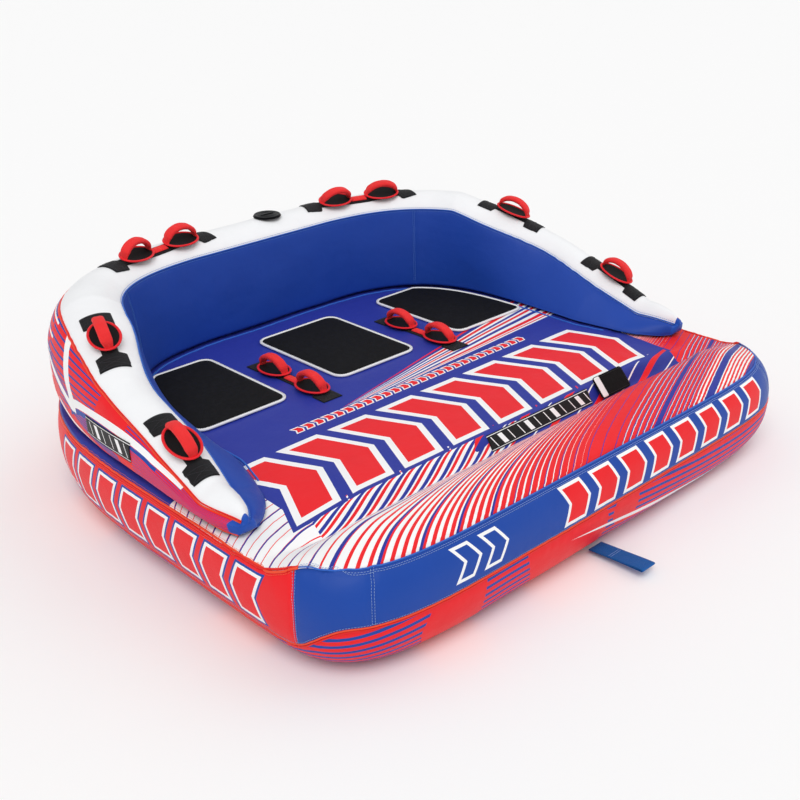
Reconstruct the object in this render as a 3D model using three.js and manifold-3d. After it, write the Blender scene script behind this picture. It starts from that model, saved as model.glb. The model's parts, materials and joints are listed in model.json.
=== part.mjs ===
// A three-rider towable tube: a flat inflatable base with a raised bow roll, and a U-shaped
// inflatable backrest round three seat pads. Millimetres, +Z up, the tow end towards -Y.
// The origin is on the floor, under the middle of the base.
//
// The nylon covers and the bladders inside them are thin shells that follow one another,
// and every piece sewn to a cover is laid out on the same surfaces.

import * as THREE from 'three';
import { mergeVertices } from 'three/addons/utils/BufferGeometryUtils.js';
import Module from 'manifold-3d';

const wasm = await Module();
wasm.setup();

// ---- Driving dimensions -------------------------------------------------------------

// Plan outline of the base: two half superellipses that meet at the widest line.
const HALF_WIDTH = 1035;
const WIDEST_Y = -150;
const FRONT_REACH = 785;
const REAR_REACH = 1085;
const FRONT_SQUARENESS = 7;
const REAR_SQUARENESS = 3.3;

// Side of the base: a bulge that tucks under to the flat bottom.
const BULGE_DEPTH = 160;
const BOW_TUCK = 135;
const BULGE_POWER = 2.4;
const SIDE_HALF_HEIGHT = 186;
const BOW_HALF_HEIGHT = 175;
const SIDE_SEAM_LEVEL = 0.478;
const BOW_SEAM_LEVEL = 0.771;

// Top of the base: deck, crease and bow roll.
const DECK_Z = 300;
const CREASE_Y = -590;
const CREASE_Z = 250;
const ROLL_Z = 352;
const DECK_LIP_Y = CREASE_Y + 45;
const ARM_TIP_Y = -490;
const CORNER_SINK = 25;
const BOW_RAMP = { start: -600, length: 180 };
const SINK_RAMP = { x: 620, width: 260, y: -137, length: 353 };
const ROLL_SHOULDER = 260;
const DECK_SHOULDER = 40;

// Backrest: foot lines on the deck, and heights above the floor.
const INNER_HALF_WIDTH = 750;
const INNER_REACH = 800;
const INNER_SQUARENESS = 4.1;
const ARM_FLARE = 99;
const ARM_LENGTH = 318;
const OUTER_FOOT_INSET = 32;
const BACKREST_EDGE_Z = 612;
const ARM_DROP = 300;
const CROWN_RISE = 48;
const CROWN_SQUARENESS = 0.8;
const FLARE_POWER = 1.2;
const NOSE_START = 190;
const NOSE_ROUNDNESS = 0.96;
const NOSE_TUCK = { inner: 90, outer: 26, drop: 26 };
const ARM_TIP_HEIGHT = 40;
const DROP_RAMP = { y: 480, length: 880, bend: 0.25 };
const ARM_RAMP = { y: 400, length: 380 };
// Where the crown's seams lie over a section, and how far its belly swells, as parts of the
// section's width: at the back, on the arms, and at the rounded tip.
const INNER_EDGE = { back: 0.11, arm: 0.46, tip: 0.3 };
const OUTER_EDGE = { back: 0.9, arm: 1.02, tip: 0.74 };
const BELLY = { back: 1.1, arm: 1.12, tip: 1.03 };
const BACKREST_GAP = 6;

// Materials by thickness, and the gaps between layers.
const COVER_THICKNESS = 1.5;
const BLADDER_INSET = 4;
const BLADDER_THICKNESS = 1.2;
const LAYER_GAP = 0.6;
const WEBBING_THICKNESS = 2.2;

// Seat pads.
const PAD_WIDTH = 357;
const PAD_LENGTH = 469;
const PAD_PITCH = 560;
const PAD_Y = 300;
const PAD_THICKNESS = 8;
const PAD_CORNER = 42;
const PAD_WALL_CLEARANCE = 14;

// Handles.
const WEBBING_WIDTH = 50;
const TAB_LENGTH = 62;
const TAB_STEP = 1;
const DECK_TAB_WIDTH = 78;
const CROWN_TAB_WIDTH = 104;
const DECK_HANDLE_LENGTH = 410;
const BACK_HANDLE_LENGTH = 460;
const ARM_HANDLE_LENGTH = 262;
const DOUBLE_GRIP_OFFSET = 100;
const GUARD_LENGTH = 136;
const GUARD_WIDTH = 96;
const GUARD_THICKNESS = 2.6;
const GRIP_SPAN = 132;
const GRIP_HEIGHT = 50;
const GRIP_RADIUS = 11;

// ---- Small helpers ------------------------------------------------------------------

const mix = (from, to, part) => from + (to - from) * part;
const vector = (x, y, z) => new THREE.Vector3(x, y, z);
const degrees = THREE.MathUtils.degToRad;

function ease(part) {
  const t = THREE.MathUtils.clamp(part, 0, 1);
  return t * t * (3 - 2 * t);
}

function material(colour, roughness, metalness = 0) {
  return new THREE.MeshStandardMaterial({ color: colour, roughness, metalness });
}

function closedGeometry(points, triangles) {
  const geometry = new THREE.BufferGeometry();
  const positions = points.flatMap((point) => [point.x, point.y, point.z]);
  geometry.setAttribute('position', new THREE.Float32BufferAttribute(positions, 3));
  geometry.setIndex(triangles.flat());
  return geometry;
}

function toSolid(geometry) {
  const bare = geometry.clone();
  bare.deleteAttribute('normal');
  bare.deleteAttribute('uv');
  const merged = mergeVertices(bare, 1e-3);
  return new wasm.Manifold(new wasm.Mesh({
    numProp: 3,
    vertProperties: new Float32Array(merged.getAttribute('position').array),
    triVerts: new Uint32Array(merged.getIndex().array),
  }));
}

function fromSolid(solid) {
  const result = solid.getMesh();
  const geometry = new THREE.BufferGeometry();
  geometry.setAttribute('position', new THREE.BufferAttribute(result.vertProperties, 3));
  geometry.setIndex(new THREE.BufferAttribute(result.triVerts, 1));
  return geometry;
}

// A closed solid through rings of points; the first and last rings are capped.
function loft(rings) {
  const size = rings[0].length;
  const points = rings.flat();
  const triangles = [];
  for (let ring = 0; ring + 1 < rings.length; ring += 1) {
    for (let i = 0; i < size; i += 1) {
      const a = ring * size + i;
      const b = ring * size + (i + 1) % size;
      triangles.push([a, b, b + size], [a, b + size, a + size]);
    }
  }
  const last = (rings.length - 1) * size;
  for (let i = 1; i + 1 < size; i += 1) {
    triangles.push([0, i + 1, i], [last, last + i, last + i + 1]);
  }
  return closedGeometry(points, triangles);
}

// The same closed surface moved inwards, each vertex to the given distance from all the
// faces around it. FLATTEN keeps the sum solvable where those faces lie in one plane.
const FLATTEN = 0.02;

function inward(geometry, distance) {
  const inner = mergeVertices(geometry.clone(), 1e-3);
  const position = inner.getAttribute('position');
  const index = inner.getIndex().array;
  const point = (i) => new THREE.Vector3().fromBufferAttribute(position, i);
  const spread = Array.from({ length: position.count }, () => new Array(9).fill(0));
  const pull = Array.from({ length: position.count }, () => vector(0, 0, 0));
  for (let t = 0; t < index.length; t += 3) {
    const corners = [index[t], index[t + 1], index[t + 2]];
    const [a, b, c] = corners.map(point);
    const normal = b.clone().sub(a).cross(c.clone().sub(a)).normalize();
    const n = normal.toArray();
    corners.forEach((vertex, k) => {
      const here = point(vertex);
      const first = point(corners[(k + 1) % 3]).sub(here);
      const second = point(corners[(k + 2) % 3]).sub(here);
      const weight = first.angleTo(second);
      n.forEach((p, row) => n.forEach((q, column) => {
        spread[vertex][3 * row + column] += weight * (p * q + (row === column ? FLATTEN : 0));
      }));
      pull[vertex].addScaledVector(normal, weight);
    });
  }
  const moved = pull.map((sum, i) => (
    point(i).addScaledVector(sum.applyMatrix3(new THREE.Matrix3(...spread[i]).invert()), -distance)
  ));
  moved.forEach((place, i) => position.setXYZ(i, place.x, place.y, place.z));
  return inner;
}

// A matrix whose x, y and z axes are along, across and out of a surface at a point.
function surfaceFrame(point, along, outward) {
  const z = outward.clone().normalize();
  const x = along.clone().addScaledVector(z, -along.dot(z)).normalize();
  const y = new THREE.Vector3().crossVectors(z, x);
  return new THREE.Matrix4().makeBasis(x, y, z).setPosition(point);
}

// A flat strip of even thickness through a row of stations, each a surface frame and a width.
function strip(stations, bottom, thickness) {
  const corners = [[-1, 0], [1, 0], [1, 1], [-1, 1]];
  const rings = stations.map(({ frame, width }) => corners.map(([side, layer]) => (
    vector(0, side * width / 2, bottom + layer * thickness).applyMatrix4(frame)
  )));
  return loft(rings);
}

function ribbon(frames, width, bottom, thickness) {
  return strip(frames.map((frame) => ({ frame, width })), bottom, thickness);
}

const assembly = new THREE.Group();

function addPiece(name, geometry, look, matrix = null) {
  const mesh = new THREE.Mesh(geometry, look);
  mesh.name = name;
  if (matrix) {
    mesh.applyMatrix4(matrix);
  }
  assembly.add(mesh);
}

// ---- Materials ----------------------------------------------------------------------

const printedNylon = material(0xd8212b, 0.55);
const backrestNylon = material(0x1e48a6, 0.55);
const bladderVinyl = material(0x8f969c, 0.4);
const blackNeoprene = material(0x0c0c0e, 0.9);
const blackWebbing = material(0x131316, 0.8);
const gripWebbing = material(0xe31b23, 0.7);
const guardRubber = material(0x101012, 0.6);
const valvePlastic = material(0x16171a, 0.35);
const blueWebbing = material(0x00509a, 0.75);
const patchFabric = material(0x17171a, 0.7);
const zipTape = material(0x1b1c20, 0.8);
const zipMetal = material(0x9a9da3, 0.35, 0.9);

// ---- Base surface -------------------------------------------------------------------

function outlineHalfWidth(y, inset) {
  const inFront = y < WIDEST_Y;
  const reach = (inFront ? FRONT_REACH : REAR_REACH) - inset;
  const power = inFront ? FRONT_SQUARENESS : REAR_SQUARENESS;
  const part = Math.min(1, Math.abs(y - WIDEST_Y) / reach);
  return (HALF_WIDTH - inset) * (1 - part ** power) ** (1 / power);
}

function outlineY(x, inset, end) {
  const reach = (end < 0 ? FRONT_REACH : REAR_REACH) - inset;
  const power = end < 0 ? FRONT_SQUARENESS : REAR_SQUARENESS;
  const part = Math.min(1, Math.abs(x) / (HALF_WIDTH - inset));
  return WIDEST_Y + end * reach * (1 - part ** power) ** (1 / power);
}

// 0 along the sides and the back, 1 across the bow.
const bowPart = (y) => ease((BOW_RAMP.start - y) / BOW_RAMP.length);

// How far the surface has tucked in from the widest line, at a level of -1 (floor) to 1.
function bulgeInset(level, y = 0) {
  const depth = level < 0 ? mix(BULGE_DEPTH, BOW_TUCK, bowPart(y)) : BULGE_DEPTH;
  return depth * (1 - (1 - Math.abs(level) ** BULGE_POWER) ** (1 / BULGE_POWER));
}

const seamLevel = (y) => mix(SIDE_SEAM_LEVEL, BOW_SEAM_LEVEL, bowPart(y));
const halfHeight = (y) => mix(SIDE_HALF_HEIGHT, BOW_HALF_HEIGHT, bowPart(y));

// Height of the roll over its length: 0 at the bow seam, 1 at the crease.
function rollHeight(part) {
  const crown = 0.42;
  const seamZ = BOW_HALF_HEIGHT * (1 + BOW_SEAM_LEVEL);
  if (part < crown) {
    return mix(seamZ, ROLL_Z, Math.sqrt(1 - (1 - part / crown) ** 2));
  }
  return mix(CREASE_Z, ROLL_Z, Math.cos((part - crown) / (1 - crown) * Math.PI / 2) ** 0.9);
}

// Moves a plan point of the side seam's outline to the same place on the outline at a level.
function onOutline(x, y, level) {
  const seamInset = bulgeInset(SIDE_SEAM_LEVEL);
  const inset = bulgeInset(level, y);
  const reach = y < WIDEST_Y ? FRONT_REACH : REAR_REACH;
  return vector(
    x * (HALF_WIDTH - inset) / (HALF_WIDTH - seamInset),
    WIDEST_Y + (y - WIDEST_Y) * (reach - inset) / (reach - seamInset),
    halfHeight(y) * (1 + level),
  );
}

// The deck and roll are a grid of columns (across) and rows (front to back).
const COLUMN_PARTS = [0.27, 0.5, 0.72, 0.86, 0.93, 0.965, 1];
const ROLL_PARTS = [0, 0.2, 0.42, 0.68];
const DECK_PARTS = [0.25, 0.5, 0.75, 0.97, 1];
const SIDE_PARTS = [0, 0.3, 0.62, 0.82, 0.94, 1];
const CORNER_PART = 0.985;

function baseRows(frontY, rearY) {
  const roll = ROLL_PARTS.map((part) => ({ y: mix(frontY, CREASE_Y, part), roll: part }));
  const deck = DECK_PARTS.map((part) => ({ y: mix(ARM_TIP_Y, rearY, part) }));
  return [...roll, { y: CREASE_Y, roll: 1 }, { y: DECK_LIP_Y }, { y: ARM_TIP_Y }, ...deck];
}

// How far the deck has sunk beside and in front of the arm tips.
function deckSink(x, y) {
  const aside = THREE.MathUtils.clamp((Math.abs(x) - SINK_RAMP.x) / SINK_RAMP.width, 0, 1);
  return CORNER_SINK * aside * THREE.MathUtils.clamp((SINK_RAMP.y - y) / SINK_RAMP.length, 0, 1);
}

function topHeight(x, row, edgeX, seamZ) {
  const onRoll = row.roll !== undefined;
  const flat = onRoll ? rollHeight(row.roll) : DECK_Z - deckSink(x, row.y);
  const shoulder = onRoll ? ROLL_SHOULDER : DECK_SHOULDER;
  return mix(seamZ, flat, ease((edgeX - Math.abs(x)) / shoulder));
}

function baseOuterSurface() {
  const seamInset = bulgeInset(SIDE_SEAM_LEVEL);
  const cornerX = CORNER_PART * (HALF_WIDTH - seamInset);
  const columns = [...COLUMN_PARTS.map((part) => -part).reverse(), ...COLUMN_PARTS];
  const points = [];
  const plan = [];
  const grid = columns.map((part) => {
    const x = part * cornerX;
    const rows = baseRows(outlineY(x, seamInset, -1), outlineY(x, seamInset, 1));
    const sideRows = baseRows(outlineY(cornerX, seamInset, -1), outlineY(cornerX, seamInset, 1));
    return rows.map((row, j) => {
      const edgeX = outlineHalfWidth(sideRows[j].y, seamInset);
      const isEdge = Math.abs(part) === 1 || j === 0 || j === rows.length - 1;
      const seamZ = halfHeight(row.y) * (1 + seamLevel(row.y));
      const pointX = part * edgeX;
      const point = onOutline(pointX, row.y, seamLevel(row.y));
      point.z = isEdge ? seamZ : topHeight(pointX, row, edgeX, seamZ);
      points.push(point);
      plan.push([pointX, row.y]);
      return points.length - 1;
    });
  });
  return closeBase(points, plan, grid);
}

// The outline of the grid, carried down over the bulge and closed by the flat bottom.
function closeBase(points, plan, grid) {
  const lastColumn = grid.length - 1;
  const lastRow = grid[0].length - 1;
  const triangles = [];
  for (let i = 0; i < lastColumn; i += 1) {
    for (let j = 0; j < lastRow; j += 1) {
      const [a, b, c, d] = [grid[i][j], grid[i + 1][j], grid[i + 1][j + 1], grid[i][j + 1]];
      triangles.push([a, b, c], [a, c, d]);
    }
  }
  const seam = [
    ...grid.map((column) => column[0]),
    ...grid[lastColumn].slice(1, lastRow),
    ...grid.map((column) => column[lastRow]).reverse(),
    ...grid[0].slice(1, lastRow).reverse(),
  ];
  let above = seam;
  for (const part of SIDE_PARTS.slice(1)) {
    const ring = seam.map((index) => {
      const [x, y] = plan[index];
      return onOutline(x, y, mix(seamLevel(y), -1, part));
    });
    const start = points.length;
    points.push(...ring);
    const below = ring.map((_, i) => start + i);
    for (let i = 0; i < above.length; i += 1) {
      const next = (i + 1) % above.length;
      triangles.push([above[i], below[i], below[next]], [above[i], below[next], above[next]]);
    }
    above = below;
  }
  points.push(vector(0, 0, 0));
  const middle = points.length - 1;
  above.forEach((index, i) => triangles.push([middle, above[(i + 1) % above.length], index]));
  return closedGeometry(points, triangles);
}

// ---- Backrest surface ---------------------------------------------------------------

// A station of the U is set by its turn (0 at the arm root, 90 degrees at the back) and,
// on the arm, by its distance forward of the root. Side is -1 (left) or 1 (right).
function backrestStation(side, turn, forward) {
  const bend = (reach, power, value) => reach * Math.abs(value) ** (2 / power);
  const outerWidth = HALF_WIDTH - OUTER_FOOT_INSET;
  const outerReach = REAR_REACH - OUTER_FOOT_INSET;
  const flare = ARM_FLARE * (forward / ARM_LENGTH) ** FLARE_POWER;
  const nose = THREE.MathUtils.clamp((forward - NOSE_START) / (ARM_LENGTH - NOSE_START), 0, 1);
  const rounding = 1 - Math.sqrt(1 - (NOSE_ROUNDNESS * nose) ** 2);
  const inner = vector(
    bend(INNER_HALF_WIDTH, INNER_SQUARENESS, Math.cos(turn)) + flare + NOSE_TUCK.inner * rounding,
    WIDEST_Y + bend(INNER_REACH, INNER_SQUARENESS, Math.sin(turn)) - forward,
    0,
  );
  const outer = vector(
    bend(outerWidth, REAR_SQUARENESS, Math.cos(turn)) - NOSE_TUCK.outer * rounding,
    WIDEST_Y + bend(outerReach, REAR_SQUARENESS, Math.sin(turn)) - forward,
    0,
  );
  const middleY = (inner.y + outer.y) / 2;
  const drop = THREE.MathUtils.clamp((DROP_RAMP.y - middleY) / DROP_RAMP.length, 0, 1);
  const arm = ease((ARM_RAMP.y - middleY) / ARM_RAMP.length);
  const top = BACKREST_EDGE_Z - ARM_DROP * drop * mix(1, drop, DROP_RAMP.bend);
  const over = ({ back, arm: onArm, tip }) => mix(mix(back, onArm, arm), tip, rounding);
  return {
    inner,
    outer,
    side,
    innerEdge: over(INNER_EDGE),
    outerEdge: over(OUTER_EDGE),
    belly: over(BELLY),
    edgeZ: Math.max(top, DECK_Z + ARM_TIP_HEIGHT) - NOSE_TUCK.drop * rounding,
    rise: mix(CROWN_RISE, 0.8 * CROWN_RISE, arm) * (1 - 0.6 * rounding),
  };
}

// A point over a station: across is 0 at the inner foot and 1 at the outer foot.
function stationPoint(station, across, z) {
  const point = new THREE.Vector3().lerpVectors(station.inner, station.outer, across);
  return vector(point.x * station.side, point.y, z);
}

// The crown, from its inner seam (0) over the top (0.5) to its outer seam (1).
function crownPoint(station, part) {
  const across = mix(station.innerEdge, station.outerEdge, part);
  const dome = Math.sin(Math.PI * part) ** CROWN_SQUARENESS;
  return stationPoint(station, across, station.edgeZ + station.rise * dome);
}

// The underside follows the sunken deck, so each foot has its own height.
function footPoint(station, across) {
  const point = stationPoint(station, across, DECK_Z);
  point.z += BACKREST_GAP - deckSink(point.x, point.y);
  return point;
}

function backrestSection(station) {
  const floor = DECK_Z + BACKREST_GAP;
  const wall = station.edgeZ - floor;
  const ring = [
    footPoint(station, 0.5),
    footPoint(station, 0),
    stationPoint(station, station.innerEdge / 2 - 0.035, floor + 0.5 * wall),
    ...[0, 0.22, 0.5, 0.78, 1].map((part) => crownPoint(station, part)),
    stationPoint(station, station.belly, floor + 0.62 * wall),
    stationPoint(station, station.belly, floor + 0.3 * wall),
    footPoint(station, 1),
  ];
  return station.side > 0 ? ring : ring.reverse();
}

const TURNS = [0, 5, 12, 22, 31, 41.4, 53.4, 68.5, 81.4].map(degrees);
const FORWARDS = [ARM_LENGTH, 306, 280, 240, 160, 80];

function backrestOuterSurface() {
  const half = (side) => [
    ...FORWARDS.map((forward) => backrestStation(side, 0, forward)),
    ...TURNS.map((turn) => backrestStation(side, turn, 0)),
  ];
  const left = half(-1).map((station) => backrestSection(station));
  const right = half(1).map((station) => backrestSection(station).reverse());
  const rings = [...left, ...right.reverse()];
  return loft(rings);
}

// ---- Covers and bladders ------------------------------------------------------------

function boxSolid(sizeX, sizeY, sizeZ, matrix) {
  return toSolid(new THREE.BoxGeometry(sizeX, sizeY, sizeZ).applyMatrix4(matrix));
}

const DRILL_LENGTH = 60;
const ROUND_SIDES = 20;

function drill(radius, matrix) {
  const cylinder = new THREE.CylinderGeometry(radius, radius, DRILL_LENGTH, ROUND_SIDES);
  cylinder.rotateX(Math.PI / 2);
  return toSolid(cylinder.applyMatrix4(matrix));
}

const ZIP_LENGTH = 500;
const ZIP_TAPE_WIDTH = 30;
const ZIP_SLOT_WIDTH = 10;

// Flat panels at the back of the base and of the backrest, where the zips and valve sit.
function rearPanelFrame(lower, upper, part) {
  const point = new THREE.Vector3().lerpVectors(lower, upper, part);
  const up = upper.clone().sub(lower);
  return surfaceFrame(vector(0, point.y, point.z), vector(-1, 0, 0), vector(-1, 0, 0).cross(up));
}

function baseRearPoint(levelPart) {
  const seamInset = bulgeInset(SIDE_SEAM_LEVEL);
  const x = COLUMN_PARTS[0] * CORNER_PART * (HALF_WIDTH - seamInset);
  const seamY = outlineY(x, seamInset, 1);
  const level = mix(SIDE_SEAM_LEVEL, -1, levelPart);
  const scale = (REAR_REACH - bulgeInset(level)) / (REAR_REACH - seamInset);
  return vector(0, WIDEST_Y + (seamY - WIDEST_Y) * scale, SIDE_HALF_HEIGHT * (1 + level));
}

function backrestRearPoint(index) {
  const station = backrestStation(1, TURNS.at(-1), 0);
  const point = backrestSection(station)[index];
  return vector(0, point.y, point.z);
}

const baseZipFrame = rearPanelFrame(baseRearPoint(SIDE_PARTS[2]), baseRearPoint(SIDE_PARTS[1]), 0.5);
const baseValveFrame = rearPanelFrame(baseRearPoint(SIDE_PARTS[1]), baseRearPoint(0), 0.5);
const backrestZipFrame = rearPanelFrame(backrestRearPoint(9), backrestRearPoint(8), 0.5);

// The step from the crease up to the deck is flat: the bow valve and patch sit halfway up it.
const BOW_VALVE_X = 440;
function deckStepFrame(x) {
  const foot = vector(x, CREASE_Y, CREASE_Z);
  const head = vector(x, DECK_LIP_Y, DECK_Z);
  const up = head.clone().sub(foot);
  const along = vector(1, 0, 0);
  return surfaceFrame(foot.clone().lerp(head, 0.5), along, along.clone().cross(up));
}
const bowValveFrame = deckStepFrame(BOW_VALVE_X);

// The backrest valve lies on the crown, a little right of the middle.
const BACKREST_VALVE_X = 90;
const centreStation = backrestStation(1, TURNS.at(-1), 0);
const valveSeat = crownPoint(centreStation, 0.5);
const backrestValveFrame = surfaceFrame(
  vector(BACKREST_VALVE_X, valveSeat.y, valveSeat.z),
  vector(1, 0, 0),
  vector(0, 0, 1),
);

const VALVES = {
  backrest: { frame: backrestValveFrame, flange: 52, neck: 25, depth: 26, cap: 49, capHeight: 8 },
  base: { frame: baseValveFrame, flange: 35, neck: 19, depth: 22, cap: 33, capHeight: 7 },
  bow: { frame: bowValveFrame, flange: 27, neck: 15, depth: 20, cap: 20, capHeight: 4 },
};

function shell(surface, outerInset, thickness, cuts) {
  const outer = outerInset > 0 ? inward(surface, outerInset) : surface;
  let solid = toSolid(outer).subtract(toSolid(inward(surface, outerInset + thickness)));
  for (const cut of cuts) {
    solid = solid.subtract(cut);
  }
  return fromSolid(solid);
}

// One closed chamber of the base bladder: the part of the surface in front of or behind a wall.
const CHAMBER_WALL_Y = CREASE_Y + 90;
function chamber(surface, end, wallGap, port) {
  const half = (inset, gap) => {
    const size = 4000;
    const place = new THREE.Matrix4().makeTranslation(0, CHAMBER_WALL_Y + end * (size / 2 + gap), 0);
    return toSolid(inward(surface, inset)).intersect(boxSolid(size, size, size, place));
  };
  const outer = half(BLADDER_INSET, wallGap);
  const hollow = half(BLADDER_INSET + BLADDER_THICKNESS, wallGap + BLADDER_THICKNESS);
  return fromSolid(outer.subtract(hollow).subtract(port));
}

function addInflatables() {
  const base = baseOuterSurface();
  const backrest = backrestOuterSurface();
  const port = (valve) => drill(valve.neck + LAYER_GAP, valve.frame);
  const slot = (frame) => boxSolid(ZIP_LENGTH, ZIP_SLOT_WIDTH, 3 * COVER_THICKNESS, frame);
  const baseCuts = [port(VALVES.base), port(VALVES.bow), slot(baseZipFrame)];
  const backrestCuts = [port(VALVES.backrest), slot(backrestZipFrame)];
  addPiece('base_cover', shell(base, 0, COVER_THICKNESS, baseCuts), printedNylon);
  addPiece('base_bladder', chamber(base, 1, LAYER_GAP, port(VALVES.base)), bladderVinyl);
  addPiece('bow_bladder', chamber(base, -1, LAYER_GAP, port(VALVES.bow)), bladderVinyl);
  addPiece('backrest_cover', shell(backrest, 0, COVER_THICKNESS, backrestCuts), backrestNylon);
  const lining = shell(backrest, BLADDER_INSET, BLADDER_THICKNESS, [port(VALVES.backrest)]);
  addPiece('backrest_bladder', lining, bladderVinyl);
}

// ---- Valves, caps and zips ----------------------------------------------------------

function turned(profile, segments = ROUND_SIDES) {
  const outline = [...profile, profile[0]].map(([radius, z]) => new THREE.Vector2(radius, z));
  return new THREE.LatheGeometry(outline, segments).rotateX(Math.PI / 2);
}

const VALVE_WALL = 3;

function valveBody({ flange, neck, depth }) {
  const bore = neck - VALVE_WALL;
  const top = LAYER_GAP + VALVE_WALL;
  return turned([
    [bore, -depth], [neck, -depth], [neck, LAYER_GAP], [flange, LAYER_GAP], [flange, top], [bore, top],
  ]);
}

// A shallow domed disc with its underside one gap above the flange.
function valveCap({ cap, capHeight }) {
  const under = 2 * LAYER_GAP + VALVE_WALL;
  const outline = [
    [0, under], [cap, under], [cap, under + 0.55 * capHeight],
    [0.8 * cap, under + 0.9 * capHeight], [0, under + capHeight],
  ];
  const profile = outline.map(([radius, z]) => new THREE.Vector2(radius, z));
  return new THREE.LatheGeometry(profile, ROUND_SIDES).rotateX(Math.PI / 2);
}

const FLAP_LENGTH = 150;
const FLAP_WIDTH = 76;
const FLAP_THICKNESS = 2;
const FLAP_HEIGHT = 12;
const FLAP_RISE = 8;

// Boxes that make a slider: length, width, height, then where each one is centred.
const SLIDER_BODY = { size: [24, 12, 5], at: [0, 0, 5] };
const SLIDER_BRIDGE = { size: [9, 5, 2.4], at: [0, 0, 8.4] };
const SLIDER_PULL = { size: [34, 8, 2], at: [-18, 0, 9.8] };
const ZIP_TAPE_THICKNESS = 1.2;
const ZIP_TAPE_MARGIN = 20;

function zipSlider() {
  const boxes = [SLIDER_BODY, SLIDER_BRIDGE, SLIDER_PULL].map(({ size, at }) => (
    toSolid(new THREE.BoxGeometry(...size).translate(...at))
  ));
  return fromSolid(boxes.reduce((solid, box) => solid.add(box)));
}

function addFittings() {
  for (const [place, valve] of Object.entries(VALVES)) {
    addPiece(`${place}_valve_body`, valveBody(valve), valvePlastic, valve.frame);
    const lid = place === 'bow' ? 'plug' : 'cap';
    addPiece(`${place}_valve_${lid}`, valveCap(valve), valvePlastic, valve.frame);
  }
  const flap = new THREE.BoxGeometry(FLAP_LENGTH, FLAP_WIDTH, FLAP_THICKNESS);
  flap.translate(0, FLAP_RISE, FLAP_HEIGHT);
  addPiece('bow_valve_flap', flap, blackNeoprene, bowValveFrame);
  for (const [place, frame] of [['base', baseZipFrame], ['backrest', backrestZipFrame]]) {
    const tapeLength = ZIP_LENGTH + ZIP_TAPE_MARGIN;
    const tape = new THREE.BoxGeometry(tapeLength, ZIP_TAPE_WIDTH, ZIP_TAPE_THICKNESS);
    tape.translate(0, 0, ZIP_TAPE_THICKNESS);
    addPiece(`${place}_zip_tape`, tape, zipTape, frame);
    const start = new THREE.Matrix4().makeTranslation(ZIP_LENGTH / 2 - ZIP_TAPE_MARGIN, 0, 0);
    addPiece(`${place}_zip_slider`, zipSlider(), zipMetal, frame.clone().multiply(start));
  }
}

// ---- Seat pads ----------------------------------------------------------------------

function roundedRectangle(width, length, radius) {
  const [x, y] = [width / 2, length / 2];
  const shape = new THREE.Shape();
  shape.moveTo(-x + radius, -y);
  shape.absarc(x - radius, -y + radius, radius, -Math.PI / 2, 0);
  shape.absarc(x - radius, y - radius, radius, 0, Math.PI / 2);
  shape.absarc(-x + radius, y - radius, radius, Math.PI / 2, Math.PI);
  shape.absarc(-x + radius, -y + radius, radius, Math.PI, 1.5 * Math.PI);
  return shape;
}

// The floor plan inside the backrest wall, kept clear of it.
function wallPlan() {
  const shape = new THREE.Shape();
  const steps = 36;
  const power = 2 / INNER_SQUARENESS;
  const reach = (size, value) => (size - PAD_WALL_CLEARANCE) * Math.abs(value) ** power;
  for (let i = 0; i <= steps; i += 1) {
    const turn = Math.PI * i / steps;
    const x = reach(INNER_HALF_WIDTH, Math.cos(turn)) * Math.sign(Math.cos(turn));
    const y = WIDEST_Y + reach(INNER_REACH, Math.sin(turn));
    shape.lineTo(x, y);
  }
  return shape;
}

function addSeatPads() {
  const extrude = (shape, depth) => new THREE.ExtrudeGeometry(shape, {
    depth, bevelEnabled: false, curveSegments: 4,
  });
  const plan = toSolid(extrude(wallPlan(), 10 * PAD_THICKNESS));
  for (const [place, side] of [['left', -1], ['centre', 0], ['right', 1]]) {
    const pad = extrude(roundedRectangle(PAD_WIDTH, PAD_LENGTH, PAD_CORNER), PAD_THICKNESS);
    pad.translate(side * PAD_PITCH, PAD_Y, PAD_THICKNESS);
    const trimmed = fromSolid(toSolid(pad).intersect(plan));
    trimmed.translate(0, 0, DECK_Z + LAYER_GAP - PAD_THICKNESS);
    addPiece(`seat_pad_${place}`, trimmed, blackNeoprene);
  }
}

// ---- Handles ------------------------------------------------------------------------

// Layers of a handle above the surface it is sewn to.
const GUARD_LIFT = 2.4;
const GRIP_LIFT = 1.4;
const GUARD_BOTTOM = LAYER_GAP + WEBBING_THICKNESS + GUARD_LIFT;
const GRIP_AXIS_HEIGHT = GUARD_BOTTOM + GUARD_THICKNESS + GRIP_RADIUS + GRIP_LIFT;

function guardGeometry() {
  const oval = new THREE.Shape();
  oval.absellipse(0, 0, GUARD_LENGTH / 2, GUARD_WIDTH / 2, 0, 2 * Math.PI);
  const plate = new THREE.ExtrudeGeometry(oval, {
    depth: GUARD_THICKNESS, bevelEnabled: false, curveSegments: 18,
  });
  return plate.translate(0, 0, GUARD_BOTTOM);
}

function gripGeometry() {
  const reach = GRIP_SPAN / 2 - GRIP_RADIUS;
  const half = [[1, 0], [0.88, 0.42], [0.5, 0.88]];
  const archPoint = ([along, up], side) => vector(side * along * reach, 0, up * GRIP_HEIGHT);
  const arch = new THREE.CatmullRomCurve3([
    ...half.map((part) => archPoint(part, -1)),
    archPoint([0, 1], 1),
    ...half.map((part) => archPoint(part, 1)).reverse(),
  ]);
  const round = new THREE.Shape();
  round.absarc(0, 0, GRIP_RADIUS, 0, 2 * Math.PI);
  const tube = new THREE.ExtrudeGeometry(round, { steps: 8, curveSegments: 3, extrudePath: arch });
  return tube.translate(0, 0, GRIP_AXIS_HEIGHT);
}

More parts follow.
